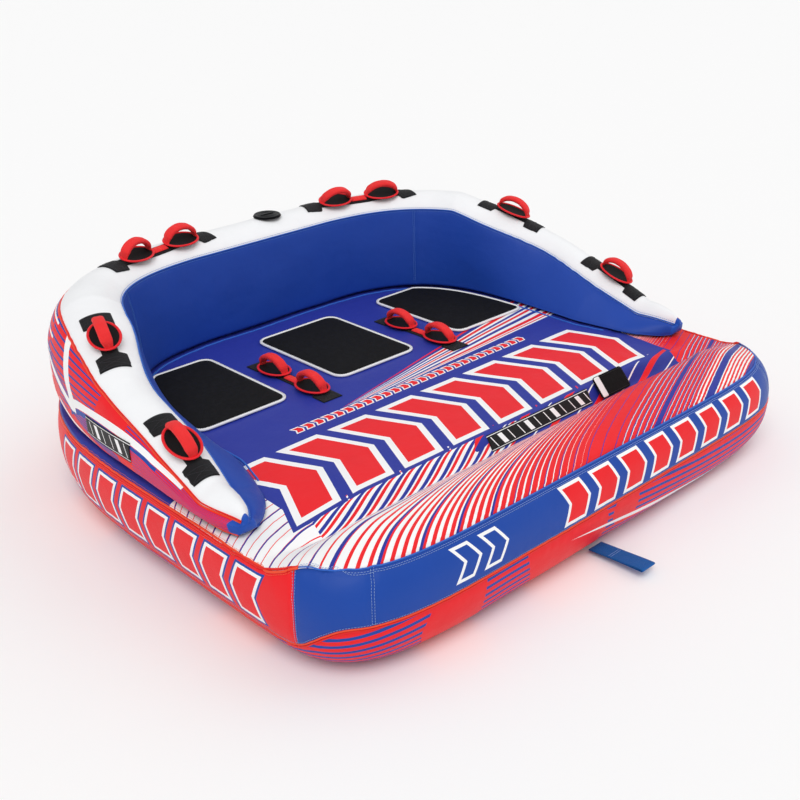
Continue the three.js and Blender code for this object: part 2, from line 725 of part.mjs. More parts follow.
const DECK_HANDLE_X = 292;
const DECK_HANDLE_Y = 172;
const BACK_HANDLE_X = { left: 425, right: 495 };
const BACK_HANDLE_ACROSS = 0.36;
const ARM_HANDLE_ACROSS = 0.56;
const ARM_HANDLE_Y = { rear: 258, front: -190 };

function deckFrame(side) {
  return (offset) => surfaceFrame(
    vector(side * DECK_HANDLE_X, DECK_HANDLE_Y + offset, DECK_Z),
    vector(0, 1, 0),
    vector(0, 0, 1),
  );
}

// A line along the backrest that pieces are sewn on, from an arm tip to the middle of the
// back: surface frames, each with its distance along the line. The across vector of a
// station points from the outside of the U to the inside.
function backrestLine(side, pointOf, acrossOf) {
  const forwards = Array.from({ length: 16 }, (_, i) => ARM_LENGTH * (1 - i / 16));
  const stations = [
    ...forwards.map((forward) => backrestStation(side, 0, forward)),
    ...Array.from({ length: 61 }, (_, i) => backrestStation(side, degrees(1.5 * i), 0)),
  ];
  const points = stations.map(pointOf);
  let distance = 0;
  return points.map((point, i) => {
    const along = points[Math.min(i + 1, points.length - 1)].clone().sub(points[Math.max(i - 1, 0)]);
    const outward = along.clone().cross(acrossOf(stations[i])).multiplyScalar(side).normalize();
    distance += i > 0 ? point.distanceTo(points[i - 1]) : 0;
    return { point, along, outward, distance };
  });
}

// Frames along such a line, by their offset from the first point that passes a test.
function framesAlong(line, test) {
  const middle = line.find((entry) => test(entry.point)).distance;
  return (offset) => {
    const wanted = middle + offset;
    const i = Math.max(1, line.findIndex((entry) => entry.distance >= wanted));
    const [before, after] = [line[i - 1], line[i]];
    const share = (wanted - before.distance) / (after.distance - before.distance);
    return surfaceFrame(
      before.point.clone().lerp(after.point, share),
      before.along.clone().lerp(after.along, share),
      before.outward.clone().lerp(after.outward, share),
    );
  };
}

const crownLine = (side, part) => backrestLine(
  side,
  (station) => crownPoint(station, part),
  (station) => crownPoint(station, part - 0.08).sub(crownPoint(station, part + 0.08)),
);

function framesOver(frameAt, length, steps = 8) {
  return Array.from({ length: steps + 1 }, (_, i) => frameAt(mix(-length / 2, length / 2, i / steps)));
}

// The webbing is narrow under the guards and has a broad tab at each end.
function webbingStations(frameAt, length, tabWidth) {
  const inner = length / 2 - TAB_LENGTH;
  const middle = framesOver(frameAt, 2 * inner).map((frame) => ({ frame, width: WEBBING_WIDTH }));
  const tab = (side) => [length / 2, length / 2 - TAB_LENGTH / 2, inner + TAB_STEP].map((offset) => (
    { frame: frameAt(side * offset), width: tabWidth }
  ));
  return [...tab(-1), ...middle, ...tab(1).reverse()];
}

// A handle is laid out over frames along its length, the middle one at offset 0.
function addHandle(name, frameAt, length, tabWidth, grips) {
  const webbing = strip(webbingStations(frameAt, length, tabWidth), LAYER_GAP, WEBBING_THICKNESS);
  addPiece(`${name}_webbing`, webbing, blackWebbing);
  for (const [label, offset] of grips) {
    const frame = frameAt(offset);
    addPiece(`${name}_${label}guard`, guardGeometry(), guardRubber, frame);
    addPiece(`${name}_${label}grip`, gripGeometry(), gripWebbing, frame);
  }
}

function addHandles() {
  const pair = (first, second) => [[first, -DOUBLE_GRIP_OFFSET], [second, DOUBLE_GRIP_OFFSET]];
  for (const [place, side] of [['left', -1], ['right', 1]]) {
    const deckGrips = pair('front_', 'rear_');
    addHandle(`deck_${place}`, deckFrame(side), DECK_HANDLE_LENGTH, DECK_TAB_WIDTH, deckGrips);
    const backLine = crownLine(side, BACK_HANDLE_ACROSS);
    const atBack = framesAlong(backLine, (p) => Math.abs(p.x) < BACK_HANDLE_X[place]);
    addHandle(`back_${place}`, atBack, BACK_HANDLE_LENGTH, CROWN_TAB_WIDTH, pair('outer_', 'inner_'));
    for (const [spot, y] of Object.entries(ARM_HANDLE_Y)) {
      const onArm = framesAlong(crownLine(side, ARM_HANDLE_ACROSS), (p) => p.y > y);
      addHandle(`arm_${place}_${spot}`, onArm, ARM_HANDLE_LENGTH, CROWN_TAB_WIDTH, [['', 0]]);
    }
  }
}

// ---- Patches and tow strap ----------------------------------------------------------

const PATCH_THICKNESS = 1.2;
const BOW_PATCH = { x: 95, length: 470, width: 54 };
const SIDE_PATCH = { y: 30, length: 250, width: 60 };
const TOW_STRAP_WIDTH = 60;
const TOW_STRAP_LENGTH = 190;
const TOW_STRAP_DIP = degrees(-5);
const TOW_STRAP_THICKNESS = 4;
const TOW_PATCH_WIDTH = 34;
const TOW_X = -30;
const TOW_ROOT_Y = -884;
const TOW_ROOT_Z = 14;

function patchGeometry(length, width) {
  const plate = new THREE.BoxGeometry(length, width, PATCH_THICKNESS);
  return plate.translate(0, 0, LAYER_GAP + PATCH_THICKNESS / 2);
}

// The outer face of the backrest, halfway up between the base seam and the crown.
function outerFaceLine(side) {
  const section = (station) => {
    const ring = backrestSection(station);
    return station.side > 0 ? ring : ring.reverse();
  };
  return backrestLine(
    side,
    (station) => section(station)[9].lerp(section(station)[8], 0.5),
    (station) => section(station)[8].sub(section(station)[9]),
  );
}

// The flat strip of the underside, just behind the bow, that the tow strap is sewn to.
function towPatchFrame() {
  const edge = (part) => {
    const level = mix(BOW_SEAM_LEVEL, -1, part);
    const y = WIDEST_Y - FRONT_REACH + bulgeInset(level, -FRONT_REACH + WIDEST_Y);
    return vector(TOW_X, y, BOW_HALF_HEIGHT * (1 + level));
  };
  const [front, back] = [edge(SIDE_PARTS[4]), edge(SIDE_PARTS[5])];
  const along = back.clone().sub(front);
  return surfaceFrame(front.clone().lerp(back, 0.34), vector(1, 0, 0), along.cross(vector(1, 0, 0)));
}

function addPatchesAndTowStrap() {
  const bowPatch = patchGeometry(BOW_PATCH.length, BOW_PATCH.width);
  addPiece('bow_patch', bowPatch, patchFabric, deckStepFrame(BOW_PATCH.x));
  for (const [place, side] of [['left', -1], ['right', 1]]) {
    const frameAt = framesAlong(outerFaceLine(side), (p) => p.y > SIDE_PATCH.y);
    const frames = framesOver(frameAt, SIDE_PATCH.length);
    const patch = ribbon(frames, SIDE_PATCH.width, LAYER_GAP, PATCH_THICKNESS);
    addPiece(`side_patch_${place}`, patch, patchFabric);
  }
  const towPatch = patchGeometry(2 * TOW_STRAP_WIDTH, TOW_PATCH_WIDTH);
  addPiece('tow_patch', towPatch, blackWebbing, towPatchFrame());
  const strap = new THREE.BoxGeometry(TOW_STRAP_WIDTH, TOW_STRAP_LENGTH, TOW_STRAP_THICKNESS);
  strap.translate(0, -TOW_STRAP_LENGTH / 2 - TOW_STRAP_THICKNESS, 0);
  const tilt = new THREE.Matrix4().makeRotationX(TOW_STRAP_DIP);
  addPiece('tow_strap', strap, blueWebbing, tilt.setPosition(TOW_X, TOW_ROOT_Y, TOW_ROOT_Z));
}

addInflatables();
addFittings();
addSeatPads();
addHandles();
addPatchesAndTowStrap();

export default assembly;
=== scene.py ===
import json
import math

import bmesh
import bpy
import numpy as np
from mathutils import Matrix, Vector, geometry, noise
from mathutils.bvhtree import BVHTree
from mathutils.kdtree import KDTree


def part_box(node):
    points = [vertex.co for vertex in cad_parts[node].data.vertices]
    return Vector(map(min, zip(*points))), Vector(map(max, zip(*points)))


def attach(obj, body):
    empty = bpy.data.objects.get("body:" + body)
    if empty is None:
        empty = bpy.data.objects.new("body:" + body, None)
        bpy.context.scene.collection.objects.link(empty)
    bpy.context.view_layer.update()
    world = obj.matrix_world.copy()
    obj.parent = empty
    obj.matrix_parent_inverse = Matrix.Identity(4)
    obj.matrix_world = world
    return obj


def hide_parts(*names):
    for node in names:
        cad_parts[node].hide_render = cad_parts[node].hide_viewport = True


# A three-rider towable tube. The covers are sewn skins that follow the plan curves of the packed
# part, and every sewn-on piece is laid on those skins. Metres, +Z up, the tow end towards -Y.

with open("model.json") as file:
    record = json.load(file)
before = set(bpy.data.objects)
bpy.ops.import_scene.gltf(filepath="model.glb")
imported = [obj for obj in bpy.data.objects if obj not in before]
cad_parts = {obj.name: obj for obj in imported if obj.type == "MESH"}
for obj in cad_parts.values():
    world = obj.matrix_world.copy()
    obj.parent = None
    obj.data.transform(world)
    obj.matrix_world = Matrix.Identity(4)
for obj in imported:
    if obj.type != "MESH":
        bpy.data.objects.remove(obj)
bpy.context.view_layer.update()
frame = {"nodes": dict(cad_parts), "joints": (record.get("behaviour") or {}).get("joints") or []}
JOINTS = {joint["name"]: joint for joint in frame["joints"]}

# ---- Plan curves of the covers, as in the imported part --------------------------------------

HALF_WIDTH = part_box("base_cover")[1].x
WIDEST_Y = -0.150
FRONT_REACH = 0.785
REAR_REACH = 1.085
FRONT_SQUARENESS = 7
REAR_SQUARENESS = 3.3
FLAT_PANEL = 0.268

BULGE_DEPTH = 0.160
BOW_TUCK = 0.135
BULGE_POWER = 2.4
SIDE_HALF_HEIGHT = 0.186
BOW_HALF_HEIGHT = 0.175
SIDE_SEAM_LEVEL = 0.478
BOW_SEAM_LEVEL = 0.771
BOW_STARTS_Y = -0.600
BOW_BLEND = 0.180

DECK_Z = 0.300
CREASE_Y = -0.590
CREASE_Z = 0.250
ROLL_Z = 0.352
ROLL_CROWN = 0.42
SLOPE_PART = 0.68
LIP = 0.045
ARM_TIP_Y = -0.490
CORNER_SINK = 0.025
ROLL_SHOULDER = 0.260
DECK_SHOULDER = 0.040
SINK_RAMP = {"x": 0.620, "width": 0.260, "y": -0.137, "length": 0.353}
CORNER_PART = 0.985

INNER_HALF_WIDTH = 0.750
INNER_REACH = 0.800
INNER_SQUARENESS = 4.1
OUTER_INSET = 0.032
ARM_FLARE = 0.096  # reached 310 mm along the arm
ARM_LENGTH = 0.318
NOSE_LENGTH = 0.128
NOSE_ROUNDNESS = 0.96
NOSE_TUCK = {"inner": 0.090, "outer": 0.026, "drop": 0.026}
ARM_TIP_HEIGHT = 0.040
# Where the crown's seams lie over a section, and how far its belly swells, as parts of the
# section's width: at the back, on the arms, and at the rounded tip.
INNER_EDGE = (0.11, 0.46, 0.30)
OUTER_EDGE = (0.90, 1.02, 0.74)
BELLY = (1.10, 1.12, 1.03)
LAST_TURN = math.radians(81.4)
BACKREST_EDGE_Z = 0.612
ARM_DROP = 0.300
CROWN_RISE = 0.048
BACKREST_GAP = 0.006

# Lower seam of the bands, as a level of the bulge, and the ends of the bow band.
SIDE_LOW_SEAM = -0.55
BOW_LOW_SEAM = -0.04
BAND_END_Y = -0.712
BAND_SEAM_X = 0.852

GRID = 0.010


def mix(start, end, part):
    return start + (end - start) * part


def ease(part):
    t = np.clip(part, 0, 1)
    return t * t * (3 - 2 * t)


def domed(part):
    """Rises like the quarter of a circle, as an inflated edge does."""
    t = np.clip(part, 0, 1)
    return np.sqrt(1 - (1 - t) ** 2)


# ---- Base surface ---------------------------------------------------------------------------

def bow_part(y):
    return ease((BOW_STARTS_Y - y) / BOW_BLEND)


def bulge_inset(level, y):
    depth = np.where(level < 0, mix(BULGE_DEPTH, BOW_TUCK, bow_part(y)), BULGE_DEPTH)
    return depth * (1 - (1 - np.abs(level) ** BULGE_POWER) ** (1 / BULGE_POWER))


SEAM_INSET = float(bulge_inset(np.array(SIDE_SEAM_LEVEL), 0.0))
SEAM_HALF_WIDTH = HALF_WIDTH - SEAM_INSET


def seam_level(y):
    return mix(SIDE_SEAM_LEVEL, BOW_SEAM_LEVEL, bow_part(y))


def half_height(y):
    return mix(SIDE_HALF_HEIGHT, BOW_HALF_HEIGHT, bow_part(y))


def low_seam_level(y):
    return mix(SIDE_LOW_SEAM, BOW_LOW_SEAM, ease((BAND_END_Y + 0.02 - y) / 0.16))


def outline_half_width(y):
    """Half width of the top seam's outline at y."""
    in_front = y < WIDEST_Y
    reach = np.where(in_front, FRONT_REACH, REAR_REACH) - SEAM_INSET
    power = np.where(in_front, FRONT_SQUARENESS, REAR_SQUARENESS)
    part = np.minimum(1, np.abs(y - WIDEST_Y) / reach)
    return SEAM_HALF_WIDTH * (1 - part ** power) ** (1 / power)


def outline_y(x, end):
    """Where the top seam crosses x, at the bow (end -1) or the stern (end 1). Flat in the middle."""
    reach = (FRONT_REACH if end < 0 else REAR_REACH) - SEAM_INSET
    power = FRONT_SQUARENESS if end < 0 else REAR_SQUARENESS
    part = np.clip(np.abs(x), FLAT_PANEL, SEAM_HALF_WIDTH) / SEAM_HALF_WIDTH
    return WIDEST_Y + end * reach * (1 - part ** power) ** (1 / power)


def on_outline(x, y, level):
    """Carries a plan point of the top seam's outline to the same place at another level."""
    inset = bulge_inset(level, y)
    reach = np.where(y < WIDEST_Y, FRONT_REACH, REAR_REACH)
    out_x = x * (HALF_WIDTH - inset) / SEAM_HALF_WIDTH
    out_y = WIDEST_Y + (y - WIDEST_Y) * (reach - inset) / (reach - SEAM_INSET)
    return np.stack([out_x, out_y, half_height(y) * (1 + level) + 0 * out_x], axis=-1)


def roll_height(part):
    """Height of the roll: 0 at the bow seam, 1 at the crease, straight down its back slope."""
    seam_z = BOW_HALF_HEIGHT * (1 + BOW_SEAM_LEVEL)
    rise = mix(seam_z, ROLL_Z, domed(part / ROLL_CROWN))

    def fall(p):
        turn = np.clip((p - ROLL_CROWN) / (1 - ROLL_CROWN), 0, 1) * math.pi / 2
        return mix(CREASE_Z, ROLL_Z, np.maximum(np.cos(turn), 0) ** 0.9)

    slope = mix(fall(np.array(SLOPE_PART)), CREASE_Z, (part - SLOPE_PART) / (1 - SLOPE_PART))
    back = mix(fall(part), np.maximum(slope, CREASE_Z), ease((part - SLOPE_PART + 0.07) / 0.12))
    return np.where(part < ROLL_CROWN, rise, back)


def deck_sink(x, y):
    aside = np.clip((np.abs(x) - SINK_RAMP["x"]) / SINK_RAMP["width"], 0, 1)
    return CORNER_SINK * aside * np.clip((SINK_RAMP["y"] - y) / SINK_RAMP["length"], 0, 1)


def row_y(row, front_y, rear_y):
    """Rows run 0 to 1 over the roll, 1 to 2 from the crease to the arm line, 2 to 3 over the deck."""
    y = np.where(row < 1, mix(front_y, CREASE_Y, row), mix(CREASE_Y, ARM_TIP_Y, row - 1))
    return np.where(row > 2, mix(ARM_TIP_Y, rear_y, row - 2), y)


def base_top(part, row):
    """Plan points and surface points of the top, for part (-1 to 1 across) and row."""
    corner_x = CORNER_PART * SEAM_HALF_WIDTH
    side_y = row_y(row, outline_y(corner_x, -1), outline_y(corner_x, 1))
    edge_x = outline_half_width(side_y)
    column_x = part * corner_x
    y = row_y(row, outline_y(column_x, -1), outline_y(column_x, 1))
    x = part * edge_x
    seam_z = half_height(y) * (1 + seam_level(y))
    inward = edge_x - np.abs(x)
    roll_z = mix(seam_z, roll_height(np.clip(row, 0, 1)), ease(inward / ROLL_SHOULDER))
    rear = domed((3 - row) / 0.03)
    deck_z = mix(seam_z, DECK_Z - deck_sink(x, y), domed(inward / DECK_SHOULDER) * rear)
    z = mix(roll_z, deck_z, ease((y - CREASE_Y) / LIP))
    point = on_outline(x, y, seam_level(y))
    point[..., 2] = z
    return np.stack([x, y], axis=-1), point


def spaced(stops, step):
    """Values through all the stops, in even steps no longer than the given one."""
    values = []
    for start, end in zip(stops, stops[1:]):
        count = max(1, math.ceil(abs(end - start) / step))
        values.extend(mix(start, end, i / count) for i in range(count))
    return np.array([*values, stops[-1]])


def grid_faces(grid):
    """Quads over a grid of vertex numbers."""
    corners = [grid[:-1, :-1], grid[1:, :-1], grid[1:, 1:], grid[:-1, 1:]]
    return np.stack(corners, axis=-1).reshape(-1, 4).tolist()


# ---- Backrest surface -----------------------------------------------------------------------

def bend(reach, power, value):
    return reach * abs(value) ** (2 / power)


def backrest_station(turn, forward):
    """Foot lines and heights of the U: turn is 0 at the arm root, forward is along the arm."""
    flare = ARM_FLARE * (forward / 0.310) ** 1.2
    nose = min(max((forward - (ARM_LENGTH - NOSE_LENGTH)) / NOSE_LENGTH, 0), 1)
    rounding = 1 - math.sqrt(1 - (NOSE_ROUNDNESS * nose) ** 2)
    inner_x = bend(INNER_HALF_WIDTH, INNER_SQUARENESS, math.cos(turn)) + flare
    inner_x += NOSE_TUCK["inner"] * rounding
    inner_y = WIDEST_Y + bend(INNER_REACH, INNER_SQUARENESS, math.sin(turn)) - forward
    outer_x = bend(HALF_WIDTH - OUTER_INSET, REAR_SQUARENESS, math.cos(turn))
    outer_x -= NOSE_TUCK["outer"] * rounding
    outer_y = WIDEST_Y + bend(REAR_REACH - OUTER_INSET, REAR_SQUARENESS, math.sin(turn)) - forward
    middle_y = (inner_y + outer_y) / 2
    drop = min(max((0.480 - middle_y) / 0.880, 0), 1)
    arm = float(ease((0.400 - middle_y) / 0.380))
    top = BACKREST_EDGE_Z - ARM_DROP * (0.75 * drop + 0.25 * drop * drop)

    def over(back, on_arm, tip):
        return mix(mix(back, on_arm, arm), tip, rounding)

    return {
        "inner": (inner_x, inner_y),
        "outer": (outer_x, outer_y),
        "inner_edge": over(*INNER_EDGE),
        "outer_edge": over(*OUTER_EDGE),
        "belly": over(*BELLY),
        "edge_z": max(top, DECK_Z + ARM_TIP_HEIGHT) - NOSE_TUCK["drop"] * rounding,
        "rise": mix(CROWN_RISE, 0.8 * CROWN_RISE, arm) * (1 - 0.6 * rounding),
    }


def station_point(station, across, z):
    (ix, iy), (ox, oy) = station["inner"], station["outer"]
    return [mix(ix, ox, across), mix(iy, oy, across), z]


def foot_point(station, across):
    point = station_point(station, across, DECK_Z + BACKREST_GAP)
    point[2] -= float(deck_sink(point[0], point[1]))
    return point


def crown_point(station, part):
    across = mix(station["inner_edge"], station["outer_edge"], part)
    rise = station["rise"] * math.sin(math.pi * part) ** 0.8
    return station_point(station, across, station["edge_z"] + rise)


def hermite(points, tangents, steps):
    """A smooth line through points with the given tangents, in steps per span."""
    line = []
    for i in range(len(points) - 1):
        p, q = np.array(points[i]), np.array(points[i + 1])
        m, n = np.array(tangents[i]), np.array(tangents[i + 1])
        for k in range(steps[i]):
            t = k / steps[i]
            line.append(
                (2 * t ** 3 - 3 * t * t + 1) * p + (t ** 3 - 2 * t * t + t) * m
                + (3 * t * t - 2 * t ** 3) * q + (t ** 3 - t * t) * n
            )
    return line


WALL_STEPS = 26
CROWN_STEPS = 26
OUTER_STEPS = (9, 8, 9)
UNDER_STEPS = 8


def backrest_section(station):
    """A ring of points: up the inner wall, over the crown, down the outer face, back underneath."""
    floor = DECK_Z + BACKREST_GAP
    wall = station["edge_z"] - floor
    foot, edge = np.array(foot_point(station, 0)), np.array(crown_point(station, 0))
    middle = np.array(station_point(station, station["inner_edge"] / 2 - 0.035, floor + 0.5 * wall))
    ring = []
    for k in range(WALL_STEPS):
        t = k / WALL_STEPS
        ring.append(foot * (1 - t) * (1 - 2 * t) + middle * 4 * t * (1 - t) + edge * t * (2 * t - 1))
    ring.extend(np.array(crown_point(station, k / CROWN_STEPS)) for k in range(CROWN_STEPS))
    outer_edge = np.array(crown_point(station, 1))
    high = np.array(station_point(station, station["belly"], floor + 0.62 * wall))
    low = np.array(station_point(station, station["belly"], floor + 0.30 * wall))
    outer_foot = np.array(foot_point(station, 1))
    down = low - high
    tangents = [(high - outer_edge) * [1.6, 1.6, 0.5], down, down, (outer_foot - low) * [1.6, 1.6, 0.6]]
    ring.extend(hermite([outer_edge, high, low, outer_foot], tangents, OUTER_STEPS))
    ring.extend(mix(outer_foot, foot, k / UNDER_STEPS) for k in range(UNDER_STEPS))
    return np.array(ring)


def mirrored(ring):
    return ring * [-1, 1, 1]


def backrest_half():
    """Sections of the right half, from the tip of the arm to the flat panel at the back."""
    forwards = [ARM_LENGTH * (1 - i / 34) for i in range(34)]
    fine = [LAST_TURN * i / 400 for i in range(401)]
    plan = np.array([backrest_station(turn, 0)["outer"] for turn in fine])
    arc = np.concatenate([[0], np.cumsum(np.linalg.norm(np.diff(plan, axis=0), axis=1))])
    turns = np.interp(np.linspace(0, arc[-1], round(arc[-1] / GRID)), arc, fine)
    stations = [backrest_station(0, forward) for forward in forwards]
    stations += [backrest_station(turn, 0) for turn in turns]
    return [backrest_section(station) for station in stations]


# ---- Meshes ---------------------------------------------------------------------------------

def new_object(name, points, faces, smooth=True):
    mesh = bpy.data.meshes.new(name)
    mesh.from_pydata([tuple(map(float, point)) for point in points], [], faces)
    mesh.validate()
    if smooth:
        mesh.shade_smooth()
    piece = bpy.data.objects.new(name, mesh)
    bpy.context.scene.collection.objects.link(piece)
    return piece


def add_piece(piece, body, materials, stands_for=()):
    for material in materials:
        piece.data.materials.append(material)
    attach(piece, body)
    if stands_for:
        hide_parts(*stands_for)
    return piece


def set_materials(piece, numbers):
    piece.data.polygons.foreach_set("material_index", np.array(numbers, np.int32))


def set_values(piece, name, values):
    """Stores one number per vertex, for the materials to read."""
    attribute = piece.data.attributes.new(name, "FLOAT", "POINT")
    attribute.data.foreach_set("value", np.array(values, np.float32))


def vertex_arrays(piece):
    count = len(piece.data.vertices)
    points, normals = np.zeros(count * 3), np.zeros(count * 3)
    piece.data.vertices.foreach_get("co", points)
    piece.data.vertex_normals.foreach_get("vector", normals)
    return points.reshape(-1, 3), normals.reshape(-1, 3)


def pinch(piece, seams, depth, width, pucker):
    """Draws a skin in along its seams, with short puckers running away from them."""
    tree_points = [(point, along) for seam, along in seams for point, along in zip(seam, along)]
    tree = KDTree(len(tree_points))
    for i, (point, _) in enumerate(tree_points):
        tree.insert(point, i)
    tree.balance()
    points, normals = vertex_arrays(piece)
    for i, point in enumerate(points):
        _, found, distance = tree.find(point)
        if distance > 5 * width:
            continue
        along = tree_points[found][1]
        valley = depth * math.exp(-(distance / width) ** 2)
        wave = noise.noise((along / 0.020, 3.7, 0)) + 0.6 * noise.noise((along / 0.009, 9.1, 0))
        ripple = pucker * wave * (distance / width) * math.exp(-distance / (1.4 * width))
        points[i] = point - normals[i] * (valley + ripple)
    piece.data.vertices.foreach_set("co", points.ravel())
    piece.data.update()


def billow(piece, height, size, seed):
    """Broad, shallow hollows over a whole skin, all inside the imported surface."""
    points, normals = vertex_arrays(piece)
    for i, point in enumerate(points):
        lift = noise.noise((point[0] / size + seed, point[1] / size, point[2] / size))
        points[i] = point + normals[i] * (0.5 * height * (lift - 1))
    piece.data.vertices.foreach_set("co", points.ravel())
    piece.data.update()


def arc_lengths(line):
    line = np.array(line)
    return np.concatenate([[0], np.cumsum(np.linalg.norm(np.diff(line, axis=0), axis=1))])


def merge(parts):
    """One list of points and faces from several."""
    points, faces = [], []
    for part_points, part_faces in parts:
        start = len(points)
        points.extend(part_points)
        faces.extend([start + i for i in face] for face in part_faces)
    return points, faces


# ---- Base skin ------------------------------------------------------------------------------

PARTS = spaced([-1, -0.96], 0.003)[:-1].tolist() + spaced([-0.96, 0.96], 0.0105)[:-1].tolist()
PARTS = np.array(PARTS + spaced([0.96, 1], 0.003).tolist())
ROWS = np.array([
    *spaced([0, 0.06], 0.007)[:-1], *spaced([0.06, 1], 0.027)[:-1], *spaced([1, 1.45], 0.05)[:-1],
    *spaced([1.45, 2], 0.10)[:-1], *spaced([2, 2.96], 0.0075)[:-1], *spaced([2.96, 3], 0.0023),
])
BAND_STEPS = 18
UNDER_TURNS = 16
TOP, BOW_BAND, SIDE_BAND, UNDERSIDE = range(4)


def streak_starts(x, y, ring_angle, ring_arc):
    """Follows the printed streak through each point back to the seam: its arc length there."""
    x, y = x.copy(), y.copy()
    a, b, n = SEAM_HALF_WIDTH, FRONT_REACH - SEAM_INSET, FRONT_SQUARENESS
    for _ in range(90):
        along_y = np.minimum(y - WIDEST_Y, -1e-3)
        rho = ((np.abs(x) / a) ** n + (np.abs(along_y) / b) ** n) ** (1 / n)
        gradient = np.hypot(np.abs(x) ** (n - 1) / a ** n, np.abs(along_y) ** (n - 1) / b ** n)
        gradient = gradient * rho ** (1 - n)
        depth = np.clip((1 - rho) / np.maximum(gradient, 1e-6), 0, 1)
        curved = 0.80 * np.clip(1 - depth / 0.26, 0, 1) + 0.03
        slope = mix(curved, 0.40, ease((x + 0.20) / 0.50))
        step = np.where(depth < 1e-3, 0, np.maximum(0.35 * depth, 0.003))
        x = x - step / np.hypot(1, slope)
        y = y - step * slope / np.hypot(1, slope)
    return np.interp(np.arctan2(x, WIDEST_Y - y), ring_angle, ring_arc)


def base_skin():
    part, row = np.meshgrid(PARTS, ROWS, indexing="ij")
    plan, surface = base_top(part, row)
    columns, rows = part.shape
    grid = np.arange(columns * rows).reshape(columns, rows)
    points = surface.reshape(-1, 3).tolist()
    faces = grid_faces(grid)
    numbers = [TOP] * len(faces)
    ring = [*grid[:, 0], *grid[-1, 1:-1], *grid[::-1, -1], *grid[0, -2:0:-1]]
    ring_plan = plan.reshape(-1, 2)[ring]
    y = ring_plan[:, 1]
    levels = [mix(seam_level(y), low_seam_level(y), i / BAND_STEPS) for i in range(1, BAND_STEPS + 1)]
    for i in range(1, UNDER_TURNS + 1):
        levels.append(mix(low_seam_level(y), -1, math.sin(i / UNDER_TURNS * math.pi / 2)))
    above = np.array(ring)
    drop = np.zeros(len(points)).tolist()
    ring_drop = np.zeros(len(ring))
    rings = [surface.reshape(-1, 3)[ring]]
    in_bow = (y < BAND_END_Y)
    for i, level in enumerate(levels):
        level_points = on_outline(ring_plan[:, 0], y, level)
        ring_drop = ring_drop + np.linalg.norm(level_points - rings[-1], axis=1)
        below = np.arange(len(ring)) + len(points)
        points.extend(level_points.tolist())
        drop.extend(ring_drop.tolist())
        quads = np.stack([above, below, np.roll(below, -1), np.roll(above, -1)], axis=-1)
        faces.extend(quads.tolist())
        band = np.where(in_bow & np.roll(in_bow, -1), BOW_BAND, SIDE_BAND)
        numbers.extend((band if i < BAND_STEPS else np.full(len(ring), UNDERSIDE)).tolist())
        rings.append(level_points)
        above = below
    for scale in (0.97, 0.85, 0.65, 0.4, 0.15):
        below = np.arange(len(ring)) + len(points)
        points.extend((rings[-1] * [scale, scale, 1]).tolist())
        drop.extend(ring_drop.tolist())
        quads = np.stack([above, below, np.roll(below, -1), np.roll(above, -1)], axis=-1)
        faces.extend(quads.tolist())
        numbers.extend([UNDERSIDE] * len(ring))
        above = below
    points.append([0, 0, 0])
    drop.append(0)
    faces.extend([a, len(points) - 1, b] for a, b in zip(above, np.roll(above, -1)))
    numbers.extend([UNDERSIDE] * len(ring))

    piece = new_object("base_skin", points, faces)
    set_materials(piece, numbers)
    set_values(piece, "drop", drop)
    seam = rings[0]
    middle = int(np.argmin(np.abs(seam[:, 0]) + (seam[:, 1] > 0)))
    order = np.roll(np.arange(len(ring)), -middle)
    forward_arc = arc_lengths(seam[np.append(order, middle)])
    arc = np.where(forward_arc > forward_arc[-1] / 2, forward_arc - forward_arc[-1], forward_arc)[:-1]
    angle = np.arctan2(seam[order, 0], WIDEST_Y - seam[order, 1])
    sort = np.argsort(angle)
    starts = np.zeros(len(points))
    top = surface.reshape(-1, 3)
    starts[:len(top)] = streak_starts(top[:, 0], top[:, 1], angle[sort], arc[sort])
    set_values(piece, "streak", starts)
    return piece, rings


def closed(line):
    return np.vstack([line, line[:1]])


def vertical_seam(rings, test):
    """The line down the band from the top seam to the low seam, at the first ring place that passes."""
    place = int(np.argmax([test(point) for point in rings[0]]))
    return np.array([ring[place] for ring in rings[:BAND_STEPS + 1]])


def seam_tests():
    """The ends of the bow band, and the seams near its corners."""
    tests = []
    for side in (-1, 1):
        tests.append(lambda p, s=side: s * p[0] > 0.9 and abs(p[1] - BAND_END_Y) < GRID)
        tests.append(lambda p, s=side: abs(s * p[0] - BAND_SEAM_X) < 0.6 * GRID and p[1] < -0.8)
    return tests


# ---- Backrest skin --------------------------------------------------------------------------

WALL, CROWN, OUTER, NOSE = range(4)
REAR_STEPS = 48
NOSE_STATIONS = 2


